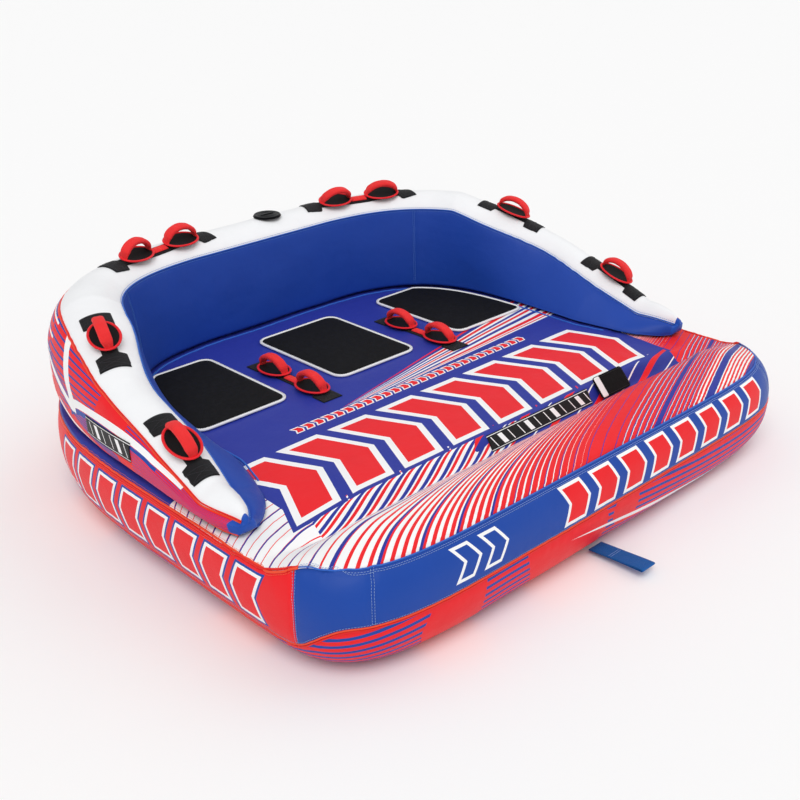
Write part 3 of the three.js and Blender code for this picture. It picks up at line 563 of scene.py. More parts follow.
def backrest_skin():
    right = backrest_half()
    left = [mirrored(ring) for ring in right]
    across = [mix(left[-1], right[-1], i / REAR_STEPS) for i in range(1, REAR_STEPS)]
    sections = np.array([*left, *across, *right[::-1]])
    count, size = sections.shape[:2]
    outer_foot = sections[:, WALL_STEPS + CROWN_STEPS + sum(OUTER_STEPS)]
    arc = arc_lengths(outer_foot)
    along = np.minimum(arc, arc[-1] - arc)
    outer_start = WALL_STEPS + CROWN_STEPS
    height = np.clip(1 - (np.arange(size) - outer_start) / sum(OUTER_STEPS), 0, 1)
    height[:outer_start] = 1

    points = sections.reshape(-1, 3).tolist()
    along_values = np.repeat(along, size).tolist()
    height_values = np.tile(height, count).tolist()
    faces, numbers = [], []
    panel = [WALL] * WALL_STEPS + [CROWN] * CROWN_STEPS + [OUTER] * sum(OUTER_STEPS) + [WALL] * UNDER_STEPS
    for i in range(count - 1):
        for k in range(size):
            a, b = i * size + k, i * size + (k + 1) % size
            faces.append([a, a + size, b + size, b])
            in_nose = panel[k] == OUTER and min(i, count - 2 - i) < NOSE_STATIONS
            numbers.append(NOSE if in_nose else panel[k])
    for section, forwards in ((0, True), (count - 1, False)):
        ring = sections[section]
        middle = ring.mean(axis=0)
        above = np.arange(size) + section * size
        for scale in (0.94, 0.8, 0.6, 0.4, 0.2):
            bulge = 0.014 * math.sqrt(1 - scale * scale)
            below = np.arange(size) + len(points)
            points.extend((mix(middle, ring, scale) + [0, -bulge, 0]).tolist())
            faces.extend(cap_quads(above, below, forwards))
            numbers.extend([NOSE] * size)
            above = below
        points.append((middle + [0, -0.014, 0]).tolist())
        tip = len(points) - 1
        pairs = zip(above, np.roll(above, -1))
        faces.extend([a, b, tip] if forwards else [b, a, tip] for a, b in pairs)
        numbers.extend([NOSE] * size)
    spare = len(points) - len(along_values)
    piece = new_object("backrest_skin", points, faces)
    set_materials(piece, numbers)
    set_values(piece, "along", along_values + [0] * spare)
    set_values(piece, "height", height_values + [0.5] * spare)
    return piece, sections


def cap_quads(above, below, forwards):
    quads = np.stack([above, np.roll(above, -1), np.roll(below, -1), below], axis=-1)
    return (quads if forwards else quads[:, ::-1]).tolist()


# ---- Material graphs ------------------------------------------------------------------------

class Field:
    """A number that varies over a surface, worked out by shader nodes."""

    def __init__(self, graph, socket):
        self.graph = graph
        self.socket = socket

    def __add__(self, other):
        return self.graph.math("ADD", self, other)

    def __radd__(self, other):
        return self.graph.math("ADD", other, self)

    def __sub__(self, other):
        return self.graph.math("SUBTRACT", self, other)

    def __rsub__(self, other):
        return self.graph.math("SUBTRACT", other, self)

    def __mul__(self, other):
        return self.graph.math("MULTIPLY", self, other)

    def __rmul__(self, other):
        return self.graph.math("MULTIPLY", other, self)

    def __truediv__(self, other):
        return self.graph.math("DIVIDE", self, other)

    def abs(self):
        return self.graph.math("ABSOLUTE", self)

    def fract(self):
        return self.graph.math("FRACT", self)

    def floor(self):
        return self.graph.math("FLOOR", self)

    def sin(self):
        return self.graph.math("SINE", self)

    def power(self, exponent):
        return self.graph.math("POWER", self, exponent)

    def most(self, other):
        return self.graph.math("MAXIMUM", self, other)

    def below(self, limit):
        return self.graph.math("LESS_THAN", self, limit)

    def above(self, limit):
        return self.graph.math("GREATER_THAN", self, limit)

    def between(self, low, high):
        return self.above(low) * self.below(high)

    def ramp(self, stops):
        """A piecewise straight curve through (place, value) stops."""
        result = stops[0][1]
        for (x0, y0), (x1, y1) in zip(stops, stops[1:]):
            share = self.graph.math("DIVIDE", self - x0, x1 - x0, clamp=True)
            result = result + share * (y1 - y0)
        return result


def linear(hex_colour):
    """A web colour as linear RGBA."""
    values = [int(hex_colour[i:i + 2], 16) / 255 for i in (1, 3, 5)]
    channels = [v / 12.92 if v <= 0.04045 else ((v + 0.055) / 1.055) ** 2.4 for v in values]
    return (*channels, 1.0)


class Graph:
    """A material and the nodes that make its finish."""

    def __init__(self, name, roughness=0.5, metallic=0.0, sheen=0.0):
        self.material = bpy.data.materials.new(name)
        self.material.use_nodes = True
        self.nodes = self.material.node_tree.nodes
        self.links = self.material.node_tree.links
        self.shader = self.nodes["Principled BSDF"]
        self.shader.inputs["Roughness"].default_value = roughness
        self.shader.inputs["Metallic"].default_value = metallic
        self.shader.inputs["Sheen Weight"].default_value = sheen
        self.shader.inputs["Sheen Roughness"].default_value = 0.5
        self.shader.inputs["Specular IOR Level"].default_value = 0.22
        place = self.nodes.new("ShaderNodeTexCoord").outputs["Object"]
        split = self.nodes.new("ShaderNodeSeparateXYZ")
        self.links.new(place, split.inputs[0])
        self.place = place
        self.x, self.y, self.z = (Field(self, socket) for socket in split.outputs)

    def join(self, value, socket):
        if isinstance(value, Field):
            self.links.new(value.socket, socket)
        elif isinstance(value, bpy.types.NodeSocket):
            self.links.new(value, socket)
        else:
            socket.default_value = value

    def math(self, operation, *values, clamp=False):
        node = self.nodes.new("ShaderNodeMath")
        node.operation = operation
        node.use_clamp = clamp
        for value, socket in zip(values, node.inputs):
            self.join(value, socket)
        return Field(self, node.outputs[0])

    def attribute(self, name):
        node = self.nodes.new("ShaderNodeAttribute")
        node.attribute_name = name
        return Field(self, node.outputs["Fac"])

    def noise(self, scale, detail=2.0, stretch=None):
        """Smooth noise about 0.5, over the object's own place or over a stretched one."""
        node = self.nodes.new("ShaderNodeTexNoise")
        node.inputs["Scale"].default_value = scale
        node.inputs["Detail"].default_value = detail
        self.links.new(self.stretched(stretch) if stretch else self.place, node.inputs["Vector"])
        return Field(self, node.outputs[0])

    def stretched(self, factors):
        node = self.nodes.new("ShaderNodeVectorMath")
        node.operation = "MULTIPLY"
        self.links.new(self.place, node.inputs[0])
        node.inputs[1].default_value = factors
        return node.outputs[0]

    def layer(self, under, over, mask):
        """Prints one colour over another where the mask is 1."""
        node = self.nodes.new("ShaderNodeMix")
        node.data_type = "RGBA"
        self.join(mask, node.inputs["Factor"])
        self.join(under, node.inputs["A"])
        self.join(over, node.inputs["B"])
        return node.outputs["Result"]

    def tinted(self, colour, amount, scale):
        """The colour, slightly darker in soft patches."""
        node = self.nodes.new("ShaderNodeHueSaturation")
        value = self.noise(scale, 3.0) * (2 * amount) + (1 - amount)
        self.join(value, node.inputs["Value"])
        self.join(colour, node.inputs["Color"])
        return node.outputs["Color"]

    def weave(self, pitch):
        """Crossed threads of a plain woven cloth, 0 to 1, on whichever faces they lie."""
        turn = 2 * math.pi / pitch
        warp = ((self.x + self.z * 0.7) * turn).sin()
        weft = ((self.y - self.z * 0.7) * turn).sin()
        return warp * weft * 0.5 + 0.5

    def bump(self, height, distance, strength=1.0):
        node = self.nodes.new("ShaderNodeBump")
        node.inputs["Distance"].default_value = distance
        node.inputs["Strength"].default_value = strength
        self.join(height, node.inputs["Height"])
        previous = self.shader.inputs["Normal"]
        if previous.is_linked:
            self.links.new(previous.links[0].from_socket, node.inputs["Normal"])
        self.links.new(node.outputs["Normal"], previous)

    def finish(self, colour, roughness=None):
        self.join(colour, self.shader.inputs["Base Color"])
        if roughness is not None:
            self.join(roughness, self.shader.inputs["Roughness"])
        return self.material


RED = linear("#ed1c24")
ORANGE_RED = linear("#f2502f")
DECK_BLUE = linear("#26349a")
BAND_BLUE = linear("#1746a2")
WALL_BLUE = linear("#1a44a4")
THREAD_BLUE = linear("#5d8fdc")
WHITE = linear("#f7f7f7")
STREAK_PITCH = 0.029


def cloth_graph(name, roughness=0.42, wrinkle=0.0012):
    """Coated nylon: a fine weave, soft creases, and a low sheen."""
    graph = Graph(name, roughness, sheen=0.03)
    graph.bump(graph.noise(7, 3.0, (1, 1, 1.6)), wrinkle * 6, 0.5)
    graph.bump(graph.noise(34, 3.0), wrinkle, 0.35)
    graph.bump(graph.weave(0.0016), 0.00012, 0.55)
    return graph


def cloth_finish(graph, colour):
    rough = graph.noise(14, 3.0) * 0.16 + graph.weave(0.0016) * 0.05 + 0.34
    return graph.finish(graph.tinted(colour, 0.05, 9), rough)


def chevron_row(u, v, pitch, bar, half_height, lean, first, last):
    """Distance, negative inside, to a row of slanted chevron bars; cells first to last are drawn."""
    slanted = u + v.abs() * lean
    cell = (slanted / pitch).floor()
    across = ((slanted / pitch).fract() - 0.5).abs() * pitch - bar / 2
    distance = (across * (1 / math.hypot(1, lean))).most(v.abs() - half_height)
    outside = cell.below(first - 0.5).most(cell.above(last + 0.5))
    return distance + outside


def print_row(graph, under, distance, outline, shadow, shadow_colour):
    colour = graph.layer(under, shadow_colour, distance.below(outline + shadow))
    colour = graph.layer(colour, WHITE, distance.below(outline))
    return graph.layer(colour, RED, distance.below(0.0))


# ---- Printed covers -------------------------------------------------------------------------

DECK_ROW = {"y": -0.357, "half": 0.150, "pitch": 0.195, "bar": 0.108}


def streak_colours(graph, s):
    """Red, white and blue streaks; s is where each one starts along the seam."""
    phase = (s / STREAK_PITCH).fract()
    red_share = s.ramp([(-1.02, 0.10), (-0.90, 0.38), (-0.50, 0.62), (-0.28, 0.86), (-0.12, 1.0),
                        (0.0, 1.0), (0.03, 0.66), (0.34, 0.6), (0.45, 0.52), (0.80, 0.5)])
    ground = graph.layer(WHITE, DECK_BLUE, s.between(0.02, 0.34))
    colour = graph.layer(ground, WHITE, s.between(0.02, 0.34) * phase.between(0.86, 0.97))
    colour = graph.layer(colour, RED, phase.below(red_share))
    thin = (s / (2 * STREAK_PITCH)).fract()
    in_corner = s.below(-1.0)
    colour = graph.layer(colour, DECK_BLUE, thin.between(0.52, 0.60) * in_corner)
    wide_blue = (s / (4 * STREAK_PITCH) + 0.3).fract().below(0.09) * s.between(-0.98, -0.45)
    colour = graph.layer(colour, DECK_BLUE, wide_blue)
    fine_blue = (s / (2 * STREAK_PITCH) + 0.15).fract().below(0.07) * s.between(-0.45, 0.30)
    colour = graph.layer(colour, DECK_BLUE, fine_blue)
    blue_band = s.between(0.155, 0.185).most(s.between(0.40, 0.455)).most(s.between(0.62, 0.70))
    return graph.layer(colour, DECK_BLUE, blue_band)


def step_shards(graph):
    """Slanting streaks on the step up to the deck: white, red and blue, then mostly blue."""
    line = graph.y - graph.x * 0.30 - (graph.x * 3.1).sin() * 0.012
    phase = (line / 0.023).fract()
    left = graph.layer(WHITE, RED, phase.between(0.30, 0.56))
    left = graph.layer(left, DECK_BLUE, phase.above(0.70))
    wide = (line / 0.071).fract()
    right = graph.layer(DECK_BLUE, RED, wide.below(0.20))
    right = graph.layer(right, WHITE, wide.between(0.52, 0.57))
    fade = (graph.x + 0.10 + (line * 60).sin() * 0.10).above(0.0)
    return graph.layer(left, right, fade)


def deck_fan(graph, colour):
    """Thin stripes that spread across the deck from one point towards the right pad."""
    run, rise = graph.x + 0.42, graph.y + 0.125
    slope = rise / run.most(0.01)
    in_fan = slope.between(0.045, 0.236) * graph.x.above(-0.33)
    share = (slope - 0.045) / 0.191
    white = share.between(0.10, 0.20).most(share.between(0.28, 0.36)).most(share.between(0.44, 0.60))
    white = white.most(share.between(0.66, 0.72)).most(share.between(0.80, 0.84))
    red = share.between(0.14, 0.17).most(share.between(0.50, 0.56)).most(share.between(0.94, 1.0))
    far_red = share.between(0.20, 0.28).most(share.between(0.72, 0.80)) * graph.x.above(0.15)
    colour = graph.layer(colour, WHITE, white * in_fan)
    return graph.layer(colour, RED, red.most(far_red) * in_fan)


def top_print():
    graph = cloth_graph("top_print")
    s = graph.attribute("streak")
    colour = deck_fan(graph, DECK_BLUE)
    row_v = graph.y - DECK_ROW["y"]
    row = chevron_row(graph.x, row_v, DECK_ROW["pitch"], DECK_ROW["bar"],
                      DECK_ROW["half"], 0.45, -4, 3)
    in_streaks = (graph.y.below(-0.545)).most(graph.x.abs().above(0.815) * graph.y.below(-0.205))
    colour = graph.layer(colour, streak_colours(graph, s), in_streaks)
    on_step = graph.y.between(-0.592, -0.52) * graph.x.between(-0.80, 0.80)
    colour = graph.layer(colour, step_shards(graph), on_step)
    colour = print_row(graph, colour, row, 0.021, 0.016, DECK_BLUE)
    dash = chevron_row(graph.x, graph.y + 0.122, 0.040, 0.022, 0.015, 0.5, -13, 12)
    colour = print_row(graph, colour, dash, 0.0045, 0.004, DECK_BLUE)
    return cloth_finish(graph, colour)


def bow_band_print():
    graph = cloth_graph("bow_band_print")
    drop = graph.attribute("drop")
    row = chevron_row(graph.x - 0.035, drop - 0.078, 0.131, 0.072, 0.050, 0.45, -2, 5)
    colour = print_row(graph, BAND_BLUE, row, 0.010, 0.0, BAND_BLUE)
    mark = chevron_row(graph.x + 0.035, drop - 0.078, 0.100, 0.058, 0.048, 0.7, -6, -5)
    colour = graph.layer(colour, WHITE, mark.between(-0.0065, 0.0025))
    return cloth_finish(graph, colour)


def side_band_print():
    graph = cloth_graph("side_band_print")
    drop = graph.attribute("drop")
    row = chevron_row(graph.y + 0.06, drop - 0.096, 0.137, 0.080, 0.062, 0.40, -4, 3)
    colour = print_row(graph, RED, row, 0.010, 0.007, BAND_BLUE)
    return cloth_finish(graph, colour)


def underside_print():
    graph = cloth_graph("underside_print")
    drop = graph.attribute("drop")
    wave = drop + ((graph.x - graph.y) * 3.0).sin() * 0.035
    line = (wave / 0.024).fract().below(0.42)
    patch = (graph.noise(2.6, 1.0, (1, 1, 0.2))).above(0.44)
    colour = graph.layer(RED, BAND_BLUE, line * patch)
    swoosh = (wave - 0.235 - (graph.x * 2.1).sin() * 0.03).abs()
    width = ((graph.x * 2.5 + 0.5).sin()).most(0.0) * 0.012
    colour = graph.layer(colour, WHITE, (swoosh - width).below(0.0))
    return cloth_finish(graph, colour)


def outer_print():
    """The outer face of the backrest: blue and white streaks on red, crossed by white swooshes."""
    graph = cloth_graph("outer_print")
    u, v = graph.attribute("along"), graph.attribute("height")
    bend = v + u * 0.22 - (u * 5.0).sin() * 0.06
    streak = (bend / 0.062).fract().below(0.30)
    patch = (graph.noise(4.2, 1.0)).above(0.47).most(u.below(0.42)).most(u.above(1.02))
    colour = graph.layer(RED, BAND_BLUE, streak * patch)
    white_streak = ((bend + 0.02) / 0.124).fract().below(0.16) * u.above(0.98)
    colour = graph.layer(colour, WHITE, white_streak)
    deep = (v - 0.30 - (u - 0.60) * 0.9).abs().below(0.10) * u.between(0.50, 1.02)
    colour = graph.layer(colour, BAND_BLUE, deep * (bend / 0.031).fract().below(0.74))
    upright = (u - 0.77 - (v - 0.43) * (v - 0.43) * 0.35).abs().below(0.022) * v.above(0.40)
    sweep = v - 0.43 - (0.79 - u).most(0.0).power(0.62) * 0.72
    long_sweep = sweep.abs().below(0.055) * u.between(0.20, 0.79)
    back_sweep = (v - 0.43 - (u - 0.77) * 0.9).abs().below(0.05) * u.between(0.77, 1.02)
    low_sweep = (v - (u - 0.56) * 0.75).abs().below(0.05) * u.between(0.56, 0.92)
    white = upright.most(long_sweep).most(back_sweep).most(low_sweep)
    near_blue = ((sweep + 0.10).abs().below(0.035)) * u.between(0.30, 0.79)
    colour = graph.layer(colour, BAND_BLUE, near_blue)
    return cloth_finish(graph, graph.layer(colour, WHITE, white))


def plain_cloth(name, colour, roughness=0.42):
    graph = cloth_graph(name, roughness)
    return cloth_finish(graph, colour)


def crown_cloth():
    graph = cloth_graph("crown_white", wrinkle=0.0016)
    crease = graph.noise(16, 4.0, (1.0, 1.0, 2.0))
    graph.bump((crease - 0.5).abs() * -1.0, 0.004, 0.35)
    return cloth_finish(graph, linear("#f2f3f5"))


def neoprene():
    """Pebbled black foam."""
    graph = Graph("seat_neoprene", 0.9)
    cells = graph.nodes.new("ShaderNodeTexVoronoi")
    cells.inputs["Scale"].default_value = 420
    graph.links.new(graph.place, cells.inputs["Vector"])
    pebble = Field(graph, cells.outputs["Distance"])
    graph.bump(pebble, 0.0007, 0.8)
    graph.bump(graph.noise(9, 2.0), 0.003, 0.3)
    mottle = graph.noise(60, 4.0).ramp([(0.4, 0), (0.75, 1)])
    colour = graph.layer(linear("#050506"), linear("#0f0f12"), mottle)
    return graph.finish(colour, graph.noise(120, 2.0) * 0.2 + 0.72)


def webbing(name, colour, rib_highlight_colour, pitch=0.0022):
    """Ribbed strap weave, with a herringbone lift, and a painted highlight: the colour is lightened towards
    a paler copy on the raised ribs.
    """
    graph = Graph(name, 0.7, sheen=0.05)
    turn = 2 * math.pi / pitch
    rib = ((graph.x + graph.y * 0.6 + graph.z) * turn).sin()
    cross = ((graph.y - graph.x * 0.6 - graph.z * 0.8) * turn * 0.7).sin()
    lift = rib * cross * 0.5 + 0.5
    graph.bump(lift, 0.0005, 0.8)
    graph.bump(graph.noise(50, 2.0), 0.0012, 0.3)
    # Painted highlight: the raised ribs are lightened towards the paler highlight colour.
    colour = graph.layer(colour, rib_highlight_colour, lift * 0.35)
    return graph.finish(graph.tinted(colour, 0.10, 40), graph.noise(80, 2.0) * 0.2 + 0.58)


def moulded(name, colour, roughness=0.4):
    graph = Graph(name, roughness)
    graph.bump(graph.noise(900, 2.0), 0.00015, 0.6)
    graph.bump(graph.noise(40, 2.0), 0.0006, 0.2)
    return graph.finish(graph.tinted(colour, 0.12, 60), graph.noise(150, 3.0) * 0.2 + roughness - 0.1)


def thread(name, colour):
    graph = Graph(name, 0.55, sheen=0.05)
    twist = ((graph.x + graph.y + graph.z * 1.3) * (2 * math.pi / 0.0012)).sin()
    graph.bump(twist, 0.0002, 0.6)
    return graph.finish(graph.tinted(colour, 0.08, 200), 0.5)


def piping_cloth(name, colour):
    graph = Graph(name, 0.4, sheen=0.03)
    graph.bump(graph.weave(0.0012), 0.0001, 0.6)
    graph.bump(graph.noise(120, 2.0), 0.0006, 0.4)
    return graph.finish(graph.tinted(colour, 0.08, 60), 0.42)


def slashed_patch():
    """Black patch with a white edge line and slanted white strokes."""
    graph = Graph("slashed_patch", 0.6, sheen=0.1)
    s = graph.attribute("run")
    t = graph.attribute("rise")
    lean = (s + t * 0.014) / 0.12
    stroke = (lean.fract() - 0.5).abs()
    broad = stroke.below(0.08) * t.abs().below(0.62)
    narrow = stroke.between(0.30, 0.33) * t.abs().below(0.62)
    mask = broad.most(narrow).most(t.abs().between(0.78, 0.86))
    colour = graph.layer(linear("#0b0b0d"), WHITE, mask)
    graph.bump(graph.weave(0.0014), 0.00012, 0.6)
    graph.bump(graph.noise(60, 3.0), 0.001, 0.3)
    return graph.finish(graph.tinted(colour, 0.06, 30), graph.noise(60, 2.0) * 0.2 + 0.45)


def metal(name):
    graph = Graph(name, 0.35, metallic=1.0)
    graph.bump(graph.noise(600, 2.0, (1, 6, 1)), 0.0001, 0.5)
    return graph.finish(graph.tinted(linear("#a9abb0"), 0.15, 90), graph.noise(200, 3.0) * 0.3 + 0.22)


def vinyl():
    graph = Graph("bladder_vinyl", 0.3)
    graph.bump(graph.noise(18, 3.0), 0.002, 0.4)
    return graph.finish(graph.tinted(linear("#8f969c"), 0.1, 12), graph.noise(30, 2.0) * 0.2 + 0.22)


# ---- Laying pieces on a skin ----------------------------------------------------------------

class Skin:
    """A finished cover that other pieces are laid on."""

    def __init__(self, piece):
        points = [vertex.co.copy() for vertex in piece.data.vertices]
        faces = [tuple(polygon.vertices) for polygon in piece.data.polygons]
        self.tree = BVHTree.FromPolygons(points, faces)

    def snap(self, point):
        place, normal, _, _ = self.tree.find_nearest(Vector(point))
        return place, normal

    def walk(self, start, direction, length, step=0.006):
        """Places and normals along the surface, as a strap would lie, centred on the start."""
        line = [self.snap(start)]
        for sense in (1, -1):
            heading = Vector(direction) * sense
            place, normal = self.snap(start)
            side = []
            count = max(1, round(length / 2 / step))
            for _ in range(count):
                heading = (heading - normal * heading.dot(normal)).normalized()
                last = place
                place, normal = self.snap(place + heading * (length / 2 / count))
                heading = place - last
                side.append((place, normal))
            line = line + side if sense > 0 else side[::-1] + line
        return line

    def lay(self, line, spacing=0.006):
        """Snaps a rough line of points to the surface, at even spacing."""
        arc = arc_lengths(line)
        wanted = np.linspace(0, arc[-1], max(2, round(arc[-1] / spacing)))
        rough = np.stack([np.interp(wanted, arc, np.array(line)[:, k]) for k in range(3)], axis=-1)
        return smoothed([self.snap(point) for point in rough])


def smoothed(line):
    """Places and normals averaged over their neighbours, so that a cord runs evenly along a groove."""
    result = []
    for i in range(len(line)):
        near = line[max(i - 3, 0):i + 4]
        normal = sum((n for _, n in near), Vector()).normalized()
        beside = line[i - 1:i + 2] if 0 < i < len(line) - 1 else [line[i]]
        place = sum((p for p, _ in beside), Vector()) / len(beside)
        result.append((place, normal))
    return result


def directions(places):
    """The direction of travel at each place of a line."""
    last = len(places) - 1
    return [(places[min(i + 1, last)] - places[max(i - 1, 0)]).normalized() for i in range(last + 1)]


def strap(name, skin, line, width, bottom, thickness, across=8, crown=0.0):
    """A closed strip laid over a skin, which it follows along and across.

    The width is a number or a function of the distance along; crown thickens the middle.
    """
    points, run, rise = [], [], []
    along = directions([place for place, _ in line])
    travelled = arc_lengths([place for place, _ in line])
    for (place, normal), heading, distance in zip(line, along, travelled):
        side = normal.cross(heading).normalized()
        half = (width(distance) if callable(width) else width) / 2
        for layer in (0, 1):
            for k in range(across + 1):
                share = 2 * k / across - 1
                spot, up = skin.snap(place + side * (share * half))
                up = mix(normal, up, 0.5).normalized()
                swell = crown * (1 - share * share)
                edge = thickness * (0.35 if abs(share) == 1 else 1)
                top = (thickness + edge) / 2 + swell
                lift = bottom + ((thickness - edge) / 2 if layer == 0 else top)
                points.append(spot + up * lift)
                run.append(distance)
                rise.append(share)
    row = across + 1
    grid = np.arange(len(points)).reshape(len(line), 2 * row)
    order = np.array([*range(row), *range(2 * row - 1, row - 1, -1)])
    ring = grid[:, order]
    faces = []
    for i in range(len(line) - 1):
        for k in range(2 * row):
            n = (k + 1) % (2 * row)
            faces.append([ring[i, k], ring[i, n], ring[i + 1, n], ring[i + 1, k]])
    for k in range(across):
        first, last = grid[0], grid[-1]
        faces.append([first[k], first[k + row], first[k + row + 1], first[k + 1]])
        faces.append([last[k + 1], last[k + row + 1], last[k + row], last[k]])
    piece = new_object(name, points, faces)
    set_values(piece, "run", run)
    set_values(piece, "rise", rise)
    return piece


def tube(line, radius, sides=8, closed_loop=False, flat=1.0):
    """Points and faces of a round cord along places with normals; flat squeezes it on its surface."""
    places = [Vector(place) for place, _ in line]
    headings = directions(places)
    if closed_loop:
        headings[0] = headings[-1] = (places[1] - places[-2]).normalized()
        places, headings = places[:-1], headings[:-1]
    points = []
    for place, heading, (_, normal) in zip(places, headings, line):
        side = normal.cross(heading).normalized()
        for k in range(sides):
            turn = 2 * math.pi * k / sides
            aside, up = math.cos(turn) * radius, math.sin(turn) * radius * flat
            points.append(place + side * aside + normal * up)
    count = len(places)
    faces = []
    for i in range(count if closed_loop else count - 1):
        for k in range(sides):
            a, b = i * sides + k, i * sides + (k + 1) % sides
            c, d = (i + 1) % count * sides + (k + 1) % sides, (i + 1) % count * sides + k
            faces.append([a, b, c, d])
    if not closed_loop:
        faces.append([*range(sides)][::-1])
        faces.append([*range((count - 1) * sides, count * sides)])
    return points, faces


def offset_line(skin, line, shift, lift=0.0):
    """A line moved sideways over a skin, and raised from it."""
    headings = directions([place for place, _ in line])
    moved = smoothed([
        skin.snap(place + normal.cross(heading).normalized() * shift)
        for (place, normal), heading in zip(line, headings)
    ])
    return [(spot + up * lift, up) for spot, up in moved]


def stitch_row(line, length=0.0052, gap=0.0024, radius=0.0006, lift=0.0004):
    """Separate raised stitches along places with normals."""
    arc = arc_lengths([place for place, _ in line])
    places = np.array([place for place, _ in line])
    normals = np.array([normal for _, normal in line])

    def at(distance):
        place = Vector([np.interp(distance, arc, places[:, k]) for k in range(3)])
        normal = Vector([np.interp(distance, arc, normals[:, k]) for k in range(3)]).normalized()
        return place, normal

    parts = []
    for i in range(int(arc[-1] / (length + gap))):
        start = i * (length + gap)
        spots = [at(start), at(start + length / 2), at(start + length)]
        raised = [(place + normal * h, normal) for (place, normal), h in zip(spots, (0, lift + radius, 0))]
        parts.append(tube(raised, radius, sides=5))
    return parts


def stitched(name, rows, body="tube", colour=None):
    parts = [part for row in rows for part in row]
    piece = new_object(name, *merge(parts))
    return add_piece(piece, body, [colour])


def piped(name, skin, lines, shifts, radius, materials, closed_loop=False):
    """Cords of piping side by side along seams."""
    points, faces, numbers = [], [], []
    for line in lines:
        for number, shift in enumerate(shifts):
            moved = offset_line(skin, line, shift, radius * 0.45)
            cord_points, cord_faces = tube(moved, radius, sides=8, closed_loop=closed_loop)
            faces.extend([len(points) + i for i in face] for face in cord_faces)
            points.extend(cord_points)
            numbers.extend([number % len(materials)] * len(cord_faces))
    piece = new_object(name, points, faces)
    set_materials(piece, numbers)
    return add_piece(piece, "tube", materials)


def joint_frame(joint, skin):
    """The place on the skin under a grip's hinge, its direction of travel, and the way out."""
    record = JOINTS[joint]
    pivot, axis = Vector(record["pos_m"]), Vector(record["axis"]).normalized()
    place, _ = skin.snap(pivot)
    out = pivot - place
    out = (out - axis * out.dot(axis)).normalized()
    return pivot, axis, out


def placed(points, origin, axis, out):
    """Local points (along, across, out) carried to a frame."""
    side = out.cross(axis).normalized()
    return [origin + axis * p[0] + side * p[1] + out * p[2] for p in points]


# ---- Handles --------------------------------------------------------------------------------

STRAP_WIDTH = 0.050
TAB_LENGTH = 0.062
STRAP_THICKNESS = 0.0026
GUARD_HALF_LENGTH = 0.066
GUARD_HALF_WIDTH = 0.046
PIVOT_HEIGHT = 0.0202
GRIP_REACH = 0.060
GRIP_HEIGHT = 0.048


def guard(name, frame_at, out_to):
    """An oval knuckle guard, dished up at its rim, with a bound edge."""
    pivot, axis, out = frame_at
    rings, turns = 9, 48
    points, faces = [], []

    def height(share):
        return -PIVOT_HEIGHT + 0.0062 + 0.006 * share ** 2.5

    for layer, lift in ((0, 0.0), (1, 0.0026)):
        for r in range(1, rings + 1):
            for k in range(turns):
                turn = 2 * math.pi * k / turns
                share = r / rings
                x, y = GUARD_HALF_LENGTH * share * math.cos(turn), GUARD_HALF_WIDTH * share * math.sin(turn)
                points.append((x, y, height(share) + lift))
        points.append((0, 0, height(0) + lift))
    size = rings * turns + 1
    for layer in (0, 1):
        base = layer * size
        centre = base + size - 1
        for k in range(turns):
            n = (k + 1) % turns
            tri = [centre, base + k, base + n]
            faces.append(tri if layer else tri[::-1])
            for r in range(rings - 1):
                quad = [base + r * turns + k, base + (r + 1) * turns + k,
                        base + (r + 1) * turns + n, base + r * turns + n]
                faces.append(quad if layer else quad[::-1])
    rim = (rings - 1) * turns
    for k in range(turns):
        n = (k + 1) % turns
        faces.append([rim + k, rim + n, size + rim + n, size + rim + k])
    numbers = [0] * len(faces)
    line = []
    for k in range(turns + 1):
        turn = 2 * math.pi * k / turns
        x, y = GUARD_HALF_LENGTH * math.cos(turn), GUARD_HALF_WIDTH * math.sin(turn)
        line.append((Vector((x, y, height(1) + 0.0013)), Vector((0, 0, 1))))
    cord_points, cord_faces = tube(line, 0.0042, sides=10, closed_loop=True, flat=0.8)
    faces.extend([len(points) + i for i in face] for face in cord_faces)
    numbers.extend([1] * len(cord_faces))
    points.extend(cord_points)
    piece = new_object(name, placed(points, pivot, axis, out), faces)
    set_materials(piece, numbers)
    add_piece(piece, "tube", [GUARD_BLACK, BINDING_RED], [out_to])


